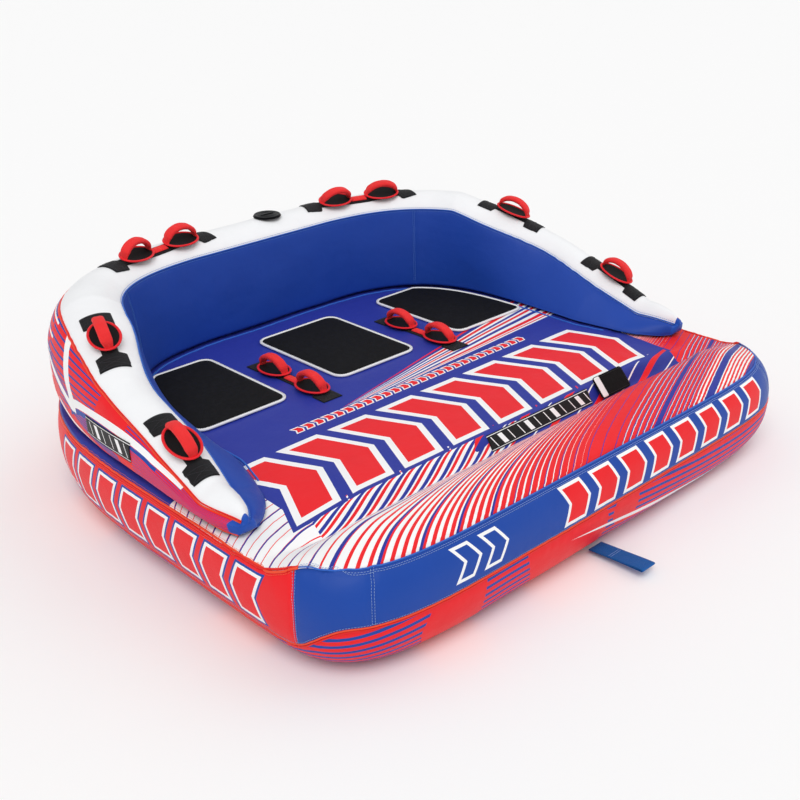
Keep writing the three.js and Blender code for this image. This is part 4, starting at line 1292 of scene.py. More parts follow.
def grip(name, frame_at, body, lean):
    """A padded sleeve that arches over its guard, pinched flat where it's sewn down."""
    pivot, axis, out = frame_at
    steps, sides = 44, 20
    seed = sum(map(ord, name)) * 0.37
    points = []
    for i in range(steps + 1):
        t = i / steps
        turn = math.pi * (1 - t)
        x = GRIP_REACH * math.cos(turn) * (1.0 - 0.10 * math.sin(turn))
        lift = GRIP_HEIGHT * max(math.sin(turn), 0) ** 0.75
        pad = ease(min(t, 1 - t) / 0.16)
        half_width = mix(0.0130, 0.0185, pad)
        half_thick = mix(0.0030, 0.0098, pad)
        tangent_turn = math.atan2(math.cos(turn), math.sin(turn) + 1e-6)
        normal = Vector((math.sin(tangent_turn) * 0.95, 0, max(math.cos(tangent_turn), 0.05))).normalized()
        for k in range(sides):
            angle = 2 * math.pi * k / sides
            c, s = math.cos(angle), math.sin(angle)
            across = half_width * math.copysign(abs(c) ** 0.75, c)
            through = half_thick * math.copysign(abs(s) ** 0.85, s)
            crease = 1 + 0.14 * noise.noise((t * 9 + seed, c * 1.2, s * 1.2)) * pad
            through *= crease * (1 - 0.10 * math.exp(-(across / 0.003) ** 2))
            place = Vector((x, across, lift)) + normal * through
            place.y += lean * lift
            points.append(place)
    base_lift = -0.0105
    points = [Vector((p.x, p.y, p.z + base_lift)) for p in points]
    faces = []
    for i in range(steps):
        for k in range(sides):
            n = (k + 1) % sides
            faces.append([i * sides + k, i * sides + n, (i + 1) * sides + n, (i + 1) * sides + k])
    faces.append([*range(sides)][::-1])
    faces.append([*range(steps * sides, (steps + 1) * sides)])
    piece = new_object(name + "_sleeve", placed(points, pivot, axis, out), faces)
    orient_outwards(piece)
    piece.modifiers.new("round", "SUBSURF").levels = 1
    piece.modifiers["round"].render_levels = 1
    add_piece(piece, body, [GRIP_RED], [name])


def orient_outwards(piece):
    work = bmesh.new()
    work.from_mesh(piece.data)
    bmesh.ops.recalc_face_normals(work, faces=work.faces)
    work.to_mesh(piece.data)
    work.free()


def box_stitches(skin, line, width, lift, at_start):
    """Stitches round a square, and across it, where a strap end is sewn down."""
    part = line[:9] if at_start else line[-9:]
    heads = directions([place for place, _ in part])
    half = width / 2 - 0.005

    def corner(i, side):
        place, normal = part[i]
        spot, up = skin.snap(place + normal.cross(heads[i]).normalized() * (side * half))
        return spot + up * lift, up

    corners = [corner(1, -1), corner(-2, -1), corner(-2, 1), corner(1, 1)]
    pairs = [(0, 1), (1, 2), (2, 3), (3, 0), (0, 2), (1, 3)]
    rows = []
    for a, b in pairs:
        start, end = corners[a][0], corners[b][0]
        between = []
        for k in range(7):
            spot, up = skin.snap(mix(start, end, k / 6))
            between.append((spot + up * lift, up))
        rows.append(stitch_row(between, 0.0042, 0.0018, 0.0005))
    return rows


def handle(name, skin, length, tab_width, labels, lean):
    """A sewn strap, broad at its ends, with one or two guarded grips."""
    names = [f"{name}_{label}grip" for label in labels]
    frames = [joint_frame(f"{grip_name}_hinge", skin) for grip_name in names]
    middle = sum((pivot for pivot, _, _ in frames), Vector()) / len(frames)
    axis = sum((a for _, a, _ in frames), Vector()).normalized()
    line = skin.walk(middle, axis, length)

    def width_at(distance):
        from_end = min(distance, length - distance)
        return mix(tab_width, STRAP_WIDTH, ease((from_end - TAB_LENGTH + 0.003) / 0.006))

    webbing_piece = strap(f"{name}_strap", skin, line, width_at, 0.0008, STRAP_THICKNESS, across=14)
    orient_outwards(webbing_piece)
    add_piece(webbing_piece, "tube", [STRAP_BLACK], [f"{name}_webbing"])
    lift = 0.0008 + STRAP_THICKNESS
    rows = box_stitches(skin, line, tab_width, lift, True) + box_stitches(skin, line, tab_width, lift, False)
    stitched(f"{name}_strap_stitches", rows, "tube", THREAD_GREY)
    for label, grip_name, frame_at in zip(labels, names, frames):
        guard(f"{name}_{label}guard_pad", frame_at, f"{name}_{label}guard")
        grip(grip_name, frame_at, grip_name, lean)
    if len(frames) == 2:
        link_line = skin.walk(middle, axis, 0.062)
        link = strap(f"{name}_grip_link", skin, link_line, 0.030, lift + 0.0006, 0.0046, crown=0.0016)
        orient_outwards(link)
        add_piece(link, "tube", [GRIP_RED])
        place, normal = skin.snap(middle)
        across = normal.cross(axis).normalized()
        row = []
        for k in range(5):
            spot, up = skin.snap(place + across * mix(-0.012, 0.012, k / 4))
            row.append((spot + up * (lift + 0.0068), up))
        stitched(f"{name}_link_stitch", [stitch_row(row, 0.003, 0.001, 0.0006)], "tube", THREAD_ORANGE)


# ---- Seat pads ------------------------------------------------------------------------------

def pad_outline(node):
    """The plan outline of a packed pad, evenly spaced."""
    points = [vertex.co for vertex in frame["nodes"][node].data.vertices]
    flat = [Vector((p.x, p.y)) for p in points]
    hull = [flat[i] for i in geometry.convex_hull_2d(flat)]
    line = closed(np.array(hull))
    arc = arc_lengths(line)
    wanted = np.linspace(0, arc[-1], 220, endpoint=False)
    even = np.stack([np.interp(wanted, arc, line[:, k]) for k in range(2)], axis=-1)
    for _ in range(3):
        even = (np.roll(even, 1, axis=0) + 2 * even + np.roll(even, -1, axis=0)) / 4
    return even


def seat_pad(node):
    low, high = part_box(node)
    outline = pad_outline(node)
    middle = outline.mean(axis=0)
    ahead = np.roll(outline, -1, axis=0) - np.roll(outline, 1, axis=0)
    inward = np.stack([-ahead[:, 1], ahead[:, 0]], axis=-1)
    inward /= np.linalg.norm(inward, axis=1)[:, None]
    if ((middle - outline) * inward).sum() < 0:
        inward = -inward
    thick = high.z - low.z
    # Inset from the outline, and height over the pad's underside: bound border, then the foam.
    profile = [(0.0012, 0.0), (0.0, 0.35), (0.0006, 0.75), (0.003, 1.0), (0.0075, 1.0), (0.0095, 0.82),
               (0.0105, 0.66), (0.0125, 0.72), (0.018, 0.95), (0.030, 1.12)]
    rings = [(outline + inward * inset, low.z + thick * height) for inset, height in profile]
    last, _ = rings[-1]
    shares = [0.93, 0.85, 0.75, 0.64, 0.52, 0.40, 0.28, 0.16, 0.07]
    points = [(x, y, z) for ring, z in rings for x, y in ring]
    for share in shares:
        crown = thick * (1.12 + 0.42 * (1 - share ** 2))
        for x, y in mix(middle, last, share):
            ripple = 0.0006 * noise.noise((x * 14, y * 14, 2.0))
            points.append((x, y, low.z + crown + ripple))
    points.append((*middle, low.z + thick * 1.54))
    points.append((*middle, low.z))
    count = len(outline)
    faces, numbers = [], []
    total = len(rings) + len(shares)
    for r in range(total - 1):
        for k in range(count):
            n = (k + 1) % count
            faces.append([r * count + k, r * count + n, (r + 1) * count + n, (r + 1) * count + k])
            numbers.append(1 if r < 6 else 0)
    top, bottom = len(points) - 2, len(points) - 1
    for k in range(count):
        n = (k + 1) % count
        faces.append([(total - 1) * count + k, (total - 1) * count + n, top])
        faces.append([n, k, bottom])
        numbers.extend([0, 1])
    piece = new_object(f"{node}_foam", points, faces)
    set_materials(piece, numbers)
    orient_outwards(piece)
    add_piece(piece, "tube", [NEOPRENE, BORDER_WHITE], [node])
    row = outline + inward * 0.0052
    line = [(Vector((x, y, low.z + thick)), Vector((0, 0, 1))) for x, y in closed(row)]
    stitched(f"{node}_stitches", [stitch_row(line, 0.005, 0.0025, 0.0005)], "tube", THREAD_GREY)


# ---- Valves, flap, zips, patches and tow strap ----------------------------------------------

def node_frame(node, out_hint, along_hint=(1, 0, 0)):
    """Middle, axes (along, across, out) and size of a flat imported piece, from its own shape."""
    points = np.array([vertex.co for vertex in frame["nodes"][node].data.vertices])
    middle = (points.min(axis=0) + points.max(axis=0)) / 2
    unique = np.unique(points.round(5), axis=0)
    _, vectors = np.linalg.eigh(np.cov((unique - unique.mean(axis=0)).T))
    out = Vector(vectors[:, 0])
    out = out if out.dot(Vector(out_hint)) > 0 else -out
    along = Vector(along_hint)
    along = (along - out * along.dot(out)).normalized()
    across = out.cross(along)
    axes = np.array([along, across, out])
    spans = (points - middle) @ axes.T
    size = Vector(spans.max(axis=0) - spans.min(axis=0))
    centre = Vector(middle + (spans.max(axis=0) + spans.min(axis=0)) / 2 @ axes)
    return centre, along, out, size


def turned(profile, turns=64):
    """Points and faces of a turned solid; the profile starts and ends on its axis."""
    points, faces = [(0, 0, profile[0][1])], []
    for radius, height in profile[1:-1]:
        for k in range(turns):
            turn = 2 * math.pi * k / turns
            points.append((radius * math.cos(turn), radius * math.sin(turn), height))
    points.append((0, 0, profile[-1][1]))
    last = len(points) - 1
    rings = len(profile) - 2
    for k in range(turns):
        n = (k + 1) % turns
        faces.append([0, 1 + n, 1 + k])
        faces.append([last, last - turns + k, last - turns + n])
        for r in range(rings - 1):
            a = 1 + r * turns
            faces.append([a + k, a + n, a + turns + n, a + turns + k])
    return points, faces


def valve_cap(node, body, out_hint):
    """A round cap with a rolled rim, two raised rings and a thumb bar."""
    centre, along, out, size = node_frame(node, out_hint)
    radius, height = size.x / 2, size.z
    low = -height / 2
    profile = [(0, low), (radius * 0.93, low), (radius * 0.985, low + 0.10 * height),
               (radius, low + 0.30 * height), (radius * 0.985, low + 0.52 * height),
               (radius * 0.94, low + 0.62 * height), (radius * 0.86, low + 0.60 * height),
               (radius * 0.82, low + 0.48 * height), (radius * 0.76, low + 0.48 * height)]
    for ring in (0.66, 0.50):
        steps = ((0.05, 0.52), (0.03, 0.70), (-0.03, 0.70), (-0.05, 0.52))
        profile += [(radius * (ring + out), low + up * height) for out, up in steps]
    profile += [(radius * 0.36, low + 0.50 * height), (0, low + 0.50 * height)]
    disc = turned(profile)
    bar = rounded_bar(radius * 1.16, radius * 0.20, low + 0.45 * height, 0.50 * height)
    piece = new_object(f"{node}_disc", *merge([disc, bar]))
    piece.data.transform(frame_matrix(centre, along, out))
    orient_outwards(piece)
    add_piece(piece, body, [PLASTIC], [node])


def frame_matrix(origin, along, out):
    across = out.cross(along)
    matrix = Matrix((along, across, out)).transposed().to_4x4()
    matrix.translation = origin
    return matrix


def rounded_bar(length, width, bottom, height, turns=10):
    """A closed bar with round ends and a softened top."""
    points, faces = [], []
    outline = []
    for end in (1, -1):
        for k in range(turns + 1):
            turn = -math.pi / 2 + math.pi * k / turns
            outline.append((end * (length / 2 - width / 2 + width / 2 * math.cos(turn)),
                            end * width / 2 * math.sin(turn)))
    layers = [(1.0, 0.0), (1.0, 0.7), (0.86, 0.92), (0.6, 1.0)]
    for share, rise in layers:
        for x, y in outline:
            shrink = (1 - share) * width / 2
            inner = max(length / 2 - shrink, 0) / (length / 2)
            points.append((x * inner, y * share, bottom + height * rise))
    size = len(outline)
    for r in range(len(layers) - 1):
        for k in range(size):
            n = (k + 1) % size
            faces.append([r * size + k, r * size + n, (r + 1) * size + n, (r + 1) * size + k])
    faces.append([*range(size)][::-1])
    faces.append([*range((len(layers) - 1) * size, len(layers) * size)])
    return points, faces


def soft_plate(length, width, thickness, corner, bow=0.0, steps=36, across=18):
    """A closed thin plate with rounded corners and rim, which may bow up along its length."""
    points, faces = [], []
    for layer in (-1, 1):
        for i in range(steps + 1):
            for k in range(across + 1):
                u, v = 2 * i / steps - 1, 2 * k / across - 1
                x, y = u * length / 2, v * width / 2
                over_x, over_y = abs(x) - (length / 2 - corner), abs(y) - (width / 2 - corner)
                if over_x > 0 and over_y > 0:
                    reach = max(over_x, over_y) / math.hypot(over_x, over_y)
                    x = math.copysign(length / 2 - corner + over_x * reach, x)
                    y = math.copysign(width / 2 - corner + over_y * reach, y)
                rim = 0.30 if abs(u) == 1 or abs(v) == 1 else 1
                points.append((x, y, layer * thickness / 2 * rim + bow * (1 - u * u)))
    row, size = across + 1, (steps + 1) * (across + 1)
    for i in range(steps):
        for k in range(across):
            a = i * row + k
            faces.append([a, a + 1, a + row + 1, a + row])
            faces.append([size + a, size + a + row, size + a + row + 1, size + a + 1])
    border = [*range(row), *[i * row + across for i in range(1, steps + 1)]]
    border += [*range(steps * row + across - 1, steps * row - 1, -1)]
    border += [i * row for i in range(steps - 1, 0, -1)]
    for a, b in zip(border, border[1:] + border[:1]):
        faces.append([a, a + size, b + size, b])
    return points, faces


def plate_stitches(matrix, length, width, height, inset, body, name, colour):
    """Stitches just inside the edge of a flat plate."""
    x, y = length / 2 - inset, width / 2 - inset
    corners = [Vector(p) for p in ((-x, -y, height), (x, -y, height), (x, y, height), (-x, y, height))]
    out = (matrix.to_3x3() @ Vector((0, 0, 1))).normalized()
    rows = []
    for start, end in zip(corners, corners[1:] + corners[:1]):
        row = [(matrix @ mix(start, end, k / 6), out) for k in range(7)]
        rows.append(stitch_row(row, 0.004, 0.002, 0.0005))
    return stitched(name, rows, body, colour)


def bow_flap():
    """The valve's cover flap: black foam with a strip of hook tape along one end."""
    centre, along, out, size = node_frame("bow_valve_flap", (0, 0, 1))
    matrix = frame_matrix(centre, along, out)
    points, faces = soft_plate(size.x, size.y, size.z * 1.6, 0.012)
    piece = new_object("bow_flap_foam", points, faces)
    piece.data.transform(matrix)
    orient_outwards(piece)
    add_piece(piece, "bow_valve_flap", [NEOPRENE], ["bow_valve_flap"])
    tape_points, tape_faces = soft_plate(0.026, size.y * 0.94, 0.0022, 0.004, steps=8)
    tape = new_object("bow_flap_tape", tape_points, tape_faces)
    tape.data.transform(matrix @ Matrix.Translation((-size.x / 2 + 0.018, 0, size.z * 0.8 + 0.0012)))
    orient_outwards(tape)
    add_piece(tape, "bow_valve_flap", [BORDER_WHITE])
    plate_stitches(matrix, size.x, size.y, size.z * 0.8, 0.006, "bow_valve_flap",
                   "bow_flap_stitches", THREAD_GREY)


def printed_patch(name, skin, line, width, node):
    patch = strap(name, skin, line, width, 0.0006, 0.0016)
    orient_outwards(patch)
    add_piece(patch, "tube", [PATCH], [node])
    edges = [offset_line(skin, line, s * (width / 2 - 0.003), 0.0022) for s in (-1, 1)]
    rows = [stitch_row(edge, 0.004, 0.002, 0.0005) for edge in edges]
    stitched(f"{name}_stitches", rows, "tube", THREAD_GREY)


def zip_teeth(place, out_hint):
    """The closed zip: two rows of teeth that interlock along the slot, on a ribbed tape."""
    centre, along, out, size = node_frame(f"{place}_zip_tape", out_hint)
    matrix = frame_matrix(centre, along, out)
    parts = []
    pitch, span = 0.0042, size.x - 0.016
    for i in range(int(span / pitch)):
        side = 1 if i % 2 else -1
        tooth = rounded_bar(0.0072, 0.0022, size.z / 2 - 0.0002, 0.0018, turns=3)
        shift = Vector((-span / 2 + i * pitch, side * 0.0011, 0))
        turned_tooth = [Vector((-p[1], p[0], p[2])) + shift for p in tooth[0]]
        parts.append((turned_tooth, tooth[1]))
    teeth = new_object(f"{place}_zip_teeth", *merge(parts))
    teeth.data.transform(matrix)
    orient_outwards(teeth)
    add_piece(teeth, "tube", [ZIP_METAL])
    plate_stitches(matrix, size.x, size.y, size.z / 2, 0.003, "tube", f"{place}_zip_stitches", THREAD_GREY)


BLADDER_GAP = 0.024
BLADDER_SHARE = 0.80
BLADDER_INSET = 15
BLADDER_CLEARANCE = 0.012


def tow_strap():
    """A folded loop of blue webbing: two layers that part towards the rounded end."""
    centre, along, out, size = node_frame("tow_strap", (0, 0, 1))
    travel = out.cross(along)
    travel = travel if travel.y < 0 else -travel
    length, width, thick = size.y, size.x, size.z
    root = centre - travel * (length / 2)
    profile = []
    steps = 40
    for i in range(steps + 1):
        t = i / steps
        gap = 0.5 * thick * (0.55 + 0.9 * ease((t - 0.45) / 0.5))
        profile.append((t * (length - 0.004), gap - 0.004 * t * t))
    for k in range(1, 8):
        turn = math.pi * k / 8
        gap = 0.5 * thick * 1.45
        profile.append((length - 0.004 + gap * math.sin(turn), gap * math.cos(turn) - 0.004))
    profile += [(x, z - 2 * (z + 0.004 * (x / length) ** 2)) for x, z in profile[steps::-1]]
    points, faces = [], []
    across = 10
    sheet = 0.0009
    for index, (x, z) in enumerate(profile):
        before, after = profile[max(index - 1, 0)], profile[min(index + 1, len(profile) - 1)]
        heading = Vector((after[0] - before[0], after[1] - before[1])).normalized()
        normal = Vector((-heading.y, heading.x))
        for layer in (-1, 1):
            for k in range(across + 1):
                share = 2 * k / across - 1
                rim = 0.4 if abs(share) == 1 else 1
                spot = Vector((x, z)) + normal * (layer * sheet * rim)
                points.append(root + travel * spot.x + along * (share * width / 2) + out * spot.y)
    row = across + 1
    for i in range(len(profile) - 1):
        a, b = i * 2 * row, (i + 1) * 2 * row
        for k in range(across):
            faces.append([a + k, a + k + 1, b + k + 1, b + k])
            faces.append([a + row + k, b + row + k, b + row + k + 1, a + row + k + 1])
        faces.append([a, b, b + row, a + row])
        faces.append([a + across, a + row + across, b + row + across, b + across])
    for a in (0, (len(profile) - 1) * 2 * row):
        for k in range(across):
            faces.append([a + k, a + row + k, a + row + k + 1, a + k + 1])
    piece = new_object("tow_strap_loop", points, faces)
    orient_outwards(piece)
    add_piece(piece, "tow_strap", [STRAP_BLUE], ["tow_strap"])
    rows = []
    for t in (0.36, 0.40):
        line = []
        for k in range(7):
            share = mix(-0.42, 0.42, k / 6)
            place = root + travel * (length * t) + along * (share * width)
            line.append((place + out * (0.5 * thick * 0.55 + sheet), out))
        rows.append(stitch_row(line, 0.004, 0.002, 0.0006))
    stitched("tow_strap_stitches", rows, "tow_strap", THREAD_PALE)


def drawn_inside(skin, point):
    """The point, moved in until the skin clears it."""
    for _ in range(3):
        place, normal = skin.snap(point)
        short = BLADDER_CLEARANCE - (place - point).dot(normal)
        point = point - normal * max(short, 0)
    return point


def bladder(node, skin):
    """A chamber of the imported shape, drawn in so that the puckered cover clears it."""
    mesh = frame["nodes"][node].data
    points = []
    for vertex in mesh.vertices:
        _, normal = skin.snap(vertex.co)
        points.append(drawn_inside(skin, vertex.co - normal * BLADDER_GAP))
    for _ in range(4):
        for edge in mesh.edges:
            first, second = edge.vertices
            middle = (points[first] + points[second]) / 2
            shift = drawn_inside(skin, middle) - middle
            points[first] = points[first] + shift
            points[second] = points[second] + shift
    piece = new_object(f"{node}_wall", points, [list(face.vertices) for face in mesh.polygons])
    add_piece(piece, "tube", [VINYL], [node])


def backrest_bladder(skin, sections):
    """The arched chamber: every third section of the cover, drawn in and closed at both ends."""
    inner = sections[BLADDER_INSET:-BLADDER_INSET:3]
    rings = [mix(ring.mean(axis=0), ring, BLADDER_SHARE) for ring in inner]
    size = len(rings[0])
    starts = np.concatenate([*rings, [rings[0].mean(axis=0), rings[-1].mean(axis=0)]])
    points = [drawn_inside(skin, Vector(start)) for start in starts]
    faces = []
    for i in range(len(rings) - 1):
        for k in range(size):
            a, b = i * size + k, i * size + (k + 1) % size
            faces.append([a, a + size, b + size, b])
    last, ends = (len(rings) - 1) * size, len(rings) * size
    for k in range(size):
        after = (k + 1) % size
        faces.append([k, after, ends])
        faces.append([last + after, last + k, ends + 1])
    piece = new_object("backrest_bladder_wall", points, faces)
    orient_outwards(piece)
    add_piece(piece, "tube", [VINYL], ["backrest_bladder"])


def finish_cad_node(node, material, bevel=0.0):
    """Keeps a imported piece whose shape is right, with its own finish and softened edges."""
    piece = frame["nodes"][node]
    for place in piece.material_slots:
        place.material = material
    if not piece.material_slots:
        piece.data.materials.append(material)
    if bevel:
        soften = piece.modifiers.new("soften", "BEVEL")
        soften.width = bevel
        soften.segments = 2
        soften.limit_method = "ANGLE"


# ---- The object -----------------------------------------------------------------------------

NEOPRENE = neoprene()
BORDER_WHITE = piping_cloth("border_white", linear("#f0f0f0"))
GUARD_BLACK = moulded("guard_black", linear("#0b0b0d"), 0.7)
BINDING_RED = piping_cloth("binding_red", linear("#e8202a"))
# The second colour given to each webbing below is the painted highlight on its raised ribs.
GRIP_RED = webbing("grip_red", linear("#ee1c25"), linear("#ff5a50"), 0.0020)
STRAP_BLACK = webbing("strap_black", linear("#0a0a0c"), linear("#2c2c32"))
STRAP_BLUE = webbing("strap_blue", linear("#00509a"), linear("#2f7cc4"))
THREAD_GREY = thread("thread_grey", linear("#3b3b42"))
THREAD_PALE = thread("thread_pale", linear("#9fb9e8"))
THREAD_ORANGE = thread("thread_orange", linear("#ff7a4c"))
THREAD_WALL = thread("thread_wall", THREAD_BLUE)
PIPING_RED = piping_cloth("piping_red", linear("#e5251f"))
PIPING_ORANGE = piping_cloth("piping_orange", ORANGE_RED)
PIPING_BLUE = piping_cloth("piping_blue", linear("#2f66c4"))
PLASTIC = moulded("valve_plastic", linear("#121316"))
PATCH = slashed_patch()
# The second colour is the painted highlight on the tape's raised ribs.
ZIP_TAPE = webbing("zip_tape", linear("#141519"), linear("#2b2d33"), 0.0014)
ZIP_METAL = metal("zip_metal")
VINYL = vinyl()


def base_seams(skin_piece, rings):
    """Pinches the base along its seams and returns the seam lines."""
    top, low = rings[0], rings[BAND_STEPS]
    uprights = [vertical_seam(rings, test) for test in seam_tests()]
    seams = [(closed(top), arc_lengths(closed(top))), (closed(low), arc_lengths(closed(low)))]
    seams += [(line, arc_lengths(line)) for line in uprights]
    pinch(skin_piece, seams, 0.0035, 0.009, 0.0020)
    return top, low, uprights


def backrest_seams(skin_piece, sections):
    inner_edge = sections[:, WALL_STEPS]
    outer_edge = sections[:, WALL_STEPS + CROWN_STEPS]
    foot_index = WALL_STEPS + CROWN_STEPS + sum(OUTER_STEPS)
    lines = {"inner_edge": inner_edge, "outer_edge": outer_edge, "outer_foot": sections[:, foot_index],
             "inner_foot": sections[:, 0]}
    corner = int(np.argmax(sections[:, 0, 1] > WIDEST_Y + 0.86 * INNER_REACH))
    count = len(sections)
    lines["corner_left"] = sections[corner, :WALL_STEPS + 1]
    lines["corner_right"] = sections[count - 1 - corner, :WALL_STEPS + 1]
    seams = [(line, arc_lengths(line)) for line in lines.values()]
    pinch(skin_piece, seams, 0.0035, 0.009, 0.0020)
    return lines


def build_covers():
    base, rings = base_skin()
    billow(base, 0.004, 0.22, 5.0)
    backrest, sections = backrest_skin()
    billow(backrest, 0.005, 0.16, 11.0)
    foot_line = [Vector((x, y, DECK_Z)) for x, y, _ in sections[:, 0]]
    top, low, uprights = base_seams(base, rings)
    pinch(base, [(np.array(foot_line), arc_lengths(foot_line))], 0.0018, 0.012, 0.0040)
    lines = backrest_seams(backrest, sections)
    add_piece(base, "tube",
              [top_print(), bow_band_print(), side_band_print(), underside_print()], ["base_cover"])
    nose_blue = plain_cloth("nose_blue", linear("#1b50b4"))
    backrest_cloths = [plain_cloth("wall_blue", WALL_BLUE), crown_cloth(), outer_print(), nose_blue]
    add_piece(backrest, "tube", backrest_cloths, ["backrest_cover"])
    return Skin(base), Skin(backrest), (top, low, uprights), lines, sections


def split_by_bow(ring):
    """The ring's lines round the sides and stern, and across the bow."""
    in_bow = ring[:, 1] < BAND_END_Y
    start = int(np.argmax(in_bow & ~np.roll(in_bow, 1)))
    order = np.roll(ring, -start, axis=0)
    bow_count = int(in_bow.sum())
    return order[:bow_count + 1], np.vstack([order[bow_count:], order[:1]])


def sew_covers(base_on, backrest_on, base_lines, lines):
    """Piping and stitches along the seams of both covers."""
    top, low, uprights = base_lines
    top_bow, top_side = split_by_bow(top)
    low_bow, low_side = split_by_bow(low)
    cords = [PIPING_RED, PIPING_ORANGE]
    piped("side_piping", base_on, [base_on.lay(top_side)], (-0.0042, 0.0042), 0.0034, cords)
    piped("low_piping", base_on, [base_on.lay(low_bow), base_on.lay(low_side)], (-0.0036, 0.0036), 0.0026,
          cords)
    piped("bow_piping", base_on, [base_on.lay(top_bow)], (0.0,), 0.0026, [PIPING_BLUE])
    bow_line = base_on.lay(top_bow)
    rows = [stitch_row(offset_line(base_on, bow_line, shift, 0.0004)) for shift in (-0.009, -0.014)]
    for line in uprights:
        laid = base_on.lay(line)
        rows += [stitch_row(offset_line(base_on, laid, shift, 0.0004)) for shift in (-0.004, 0.004)]
    for line in (low_bow, low_side):
        rows.append(stitch_row(offset_line(base_on, base_on.lay(line), 0.010, 0.0004)))
    stitched("band_stitches", rows, "tube", THREAD_PALE)
    laid = base_on.lay(top_side)
    side_rows = [stitch_row(offset_line(base_on, laid, shift, 0.0004)) for shift in (-0.012, 0.012)]
    stitched("side_stitches", side_rows, "tube", THREAD_ORANGE)

    outer = backrest_on.lay(lines["outer_edge"])
    piped("crown_outer_piping", backrest_on, [outer], (-0.003, 0.003), 0.0023, cords)
    foot = backrest_on.lay(lines["outer_foot"])
    piped("backrest_foot_piping", backrest_on, [foot], (0.0,), 0.0030, [PIPING_ORANGE])
    inner = backrest_on.lay(lines["inner_edge"])
    piped("crown_inner_piping", backrest_on, [inner], (0.0,), 0.0022, [PIPING_BLUE])
    wall_rows = [stitch_row(offset_line(backrest_on, inner, shift, 0.0003)) for shift in (-0.007, 0.007)]
    for corner in ("corner_left", "corner_right"):
        laid = backrest_on.lay(lines[corner][2:])
        wall_rows += [stitch_row(offset_line(backrest_on, laid, shift, 0.0003)) for shift in (-0.003, 0.003)]
    stitched("wall_stitches", wall_rows, "tube", THREAD_WALL)
    deck_line = [Vector((x, y, DECK_Z)) for x, y, _ in lines["inner_foot"]]
    middle = Vector((0, WIDEST_Y, DECK_Z))
    nose = round(0.05 * len(deck_line))
    inside = [p + (middle - p).normalized() * 0.010 for p in deck_line[nose:-nose]]
    laid = base_on.lay(inside)
    piped("wall_foot_piping", base_on, [laid], (0.0,), 0.0030, [PIPING_BLUE])
    foot_row = stitch_row(offset_line(base_on, laid, 0.007, 0.0003))
    stitched("wall_foot_stitches", [foot_row], "tube", THREAD_WALL)

HANDLES = {  # length of the strap and width of its tabs
    "deck": (0.410, 0.078),
    "back": (0.460, 0.104),
    "arm": (0.262, 0.104),
}


def add_handles(base_on, backrest_on):
    for side in ("left", "right"):
        handle(f"deck_{side}", base_on, *HANDLES["deck"], ("front_", "rear_"), 0.12)
        handle(f"back_{side}", backrest_on, *HANDLES["back"], ("outer_", "inner_"), 0.20)
        for spot in ("rear", "front"):
            handle(f"arm_{side}_{spot}", backrest_on, *HANDLES["arm"], ("",), 0.14)


def add_fittings(base_on, backrest_on, sections):
    valve_cap("backrest_valve_cap", "backrest_valve_cap", (0, 0, 1))
    valve_cap("base_valve_cap", "base_valve_cap", (0, 1, 0))
    valve_cap("bow_valve_plug", "tube", (0, 0, 1))
    bow_flap()
    for node in ("backrest_valve_body", "base_valve_body", "bow_valve_body"):
        finish_cad_node(node, PLASTIC, 0.0005)
    for place in ("base", "backrest"):
        finish_cad_node(f"{place}_zip_tape", ZIP_TAPE, 0.0003)
        finish_cad_node(f"{place}_zip_slider", ZIP_METAL, 0.0008)
        zip_teeth(place, (0, 1, 0))
    bladder("base_bladder", base_on)
    bladder("bow_bladder", base_on)
    backrest_bladder(backrest_on, sections)
    finish_cad_node("tow_patch", STRAP_BLACK, 0.0003)
    centre, along, _, size = node_frame("bow_patch", (0, 0, 1))
    printed_patch("bow_patch_print", base_on, base_on.walk(centre, along, size.x), size.y, "bow_patch")
    for side in ("left", "right"):
        low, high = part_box(f"side_patch_{side}")
        line = backrest_on.walk((low + high) / 2, (0, 1, 0), 0.250)
        printed_patch(f"side_patch_{side}_print", backrest_on, line, 0.060, f"side_patch_{side}")
    tow_strap()


base_on, backrest_on, base_lines, backrest_lines, backrest_sections = build_covers()
sew_covers(base_on, backrest_on, base_lines, backrest_lines)
for place in ("left", "centre", "right"):
    seat_pad(f"seat_pad_{place}")
add_handles(base_on, backrest_on)
add_fittings(base_on, backrest_on, backrest_sections)

# ---- Stage ----------------------------------------------------------------------------------

CAMERA_PLACE = Vector((-2.381, -2.615, 1.843))
CAMERA_AZIMUTH = math.radians(-42.633)
CAMERA_ELEVATION = math.radians(25.097)
CAMERA_ROLL = math.radians(-1.471)
LENS = 51.77


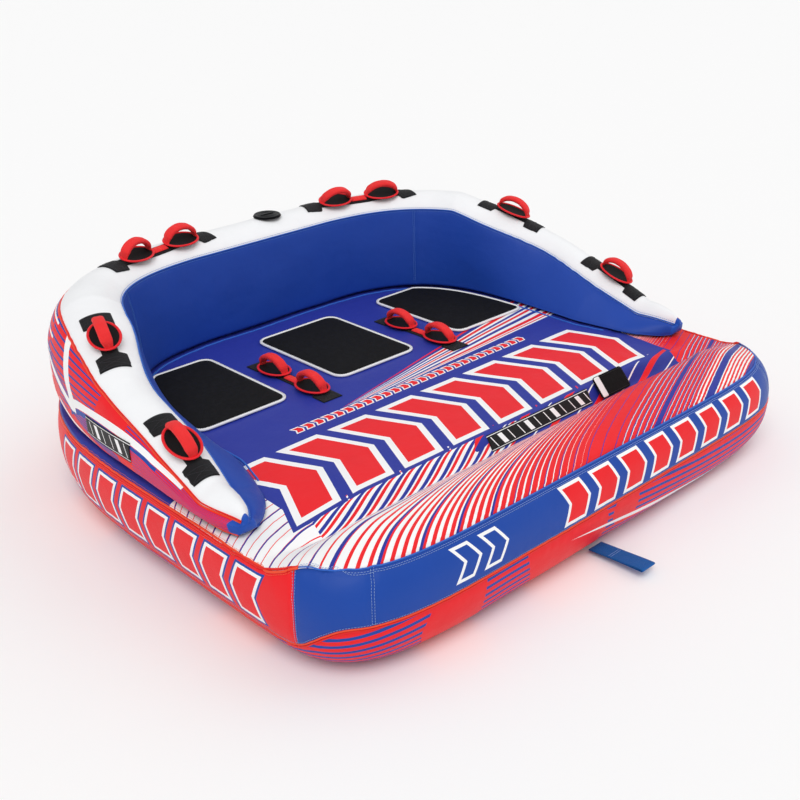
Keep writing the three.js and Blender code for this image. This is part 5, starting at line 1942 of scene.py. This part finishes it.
def add_camera():
    a, e = CAMERA_AZIMUTH, CAMERA_ELEVATION
    back = Vector((math.sin(a) * math.cos(e), -math.cos(a) * math.cos(e), math.sin(e)))
    right = Vector((math.cos(a), math.sin(a), 0))
    up = back.cross(right)
    c, s = math.cos(CAMERA_ROLL), math.sin(CAMERA_ROLL)
    matrix = Matrix((right * c + up * s, up * c - right * s, back)).transposed().to_4x4()
    matrix.translation = CAMERA_PLACE
    data = bpy.data.cameras.new("camera")
    data.lens = LENS
    camera = bpy.data.objects.new("camera", data)
    bpy.context.scene.collection.objects.link(camera)
    camera.matrix_world = matrix
    bpy.context.scene.camera = camera


def add_floor():
    half = 30.0
    corners = [(-half, -half, 0), (half, -half, 0), (half, half, 0), (-half, half, 0)]
    floor = new_object("floor", [(x, y, -0.001) for x, y, _ in corners], [[0, 1, 2, 3]], smooth=False)
    graph = Graph("floor_paper", 0.95)
    floor.data.materials.append(graph.finish(linear("#fafafa")))


def add_sun(name, direction, strength, softness):
    data = bpy.data.lights.new(name, "SUN")
    data.energy = strength
    data.angle = math.radians(softness)
    light = bpy.data.objects.new(name, data)
    bpy.context.scene.collection.objects.link(light)
    light.rotation_euler = Vector(direction).to_track_quat("-Z", "Y").to_euler()


def add_studio():
    """White surroundings, brighter to the camera than to the object, and two broad soft lights."""
    world = bpy.data.worlds.new("studio")
    world.use_nodes = True
    nodes, links = world.node_tree.nodes, world.node_tree.links
    backdrop = nodes["Background"]
    backdrop.inputs["Color"].default_value = (1, 1, 1, 1)
    surround = nodes.new("ShaderNodeBackground")
    surround.inputs["Strength"].default_value = 0.76
    path = nodes.new("ShaderNodeLightPath")
    blend = nodes.new("ShaderNodeMixShader")
    links.new(path.outputs["Is Camera Ray"], blend.inputs[0])
    links.new(surround.outputs[0], blend.inputs[1])
    links.new(backdrop.outputs[0], blend.inputs[2])
    links.new(blend.outputs[0], nodes["World Output"].inputs[0])
    bpy.context.scene.world = world
    add_sun("key", (0.5, 0.45, -1.0), 1.25, 40)
    add_sun("fill", (-0.7, 0.2, -0.6), 0.35, 60)
    view = bpy.context.scene.view_settings
    view.view_transform = "Standard"
    view.look = "None"


add_floor()
add_studio()
add_camera()
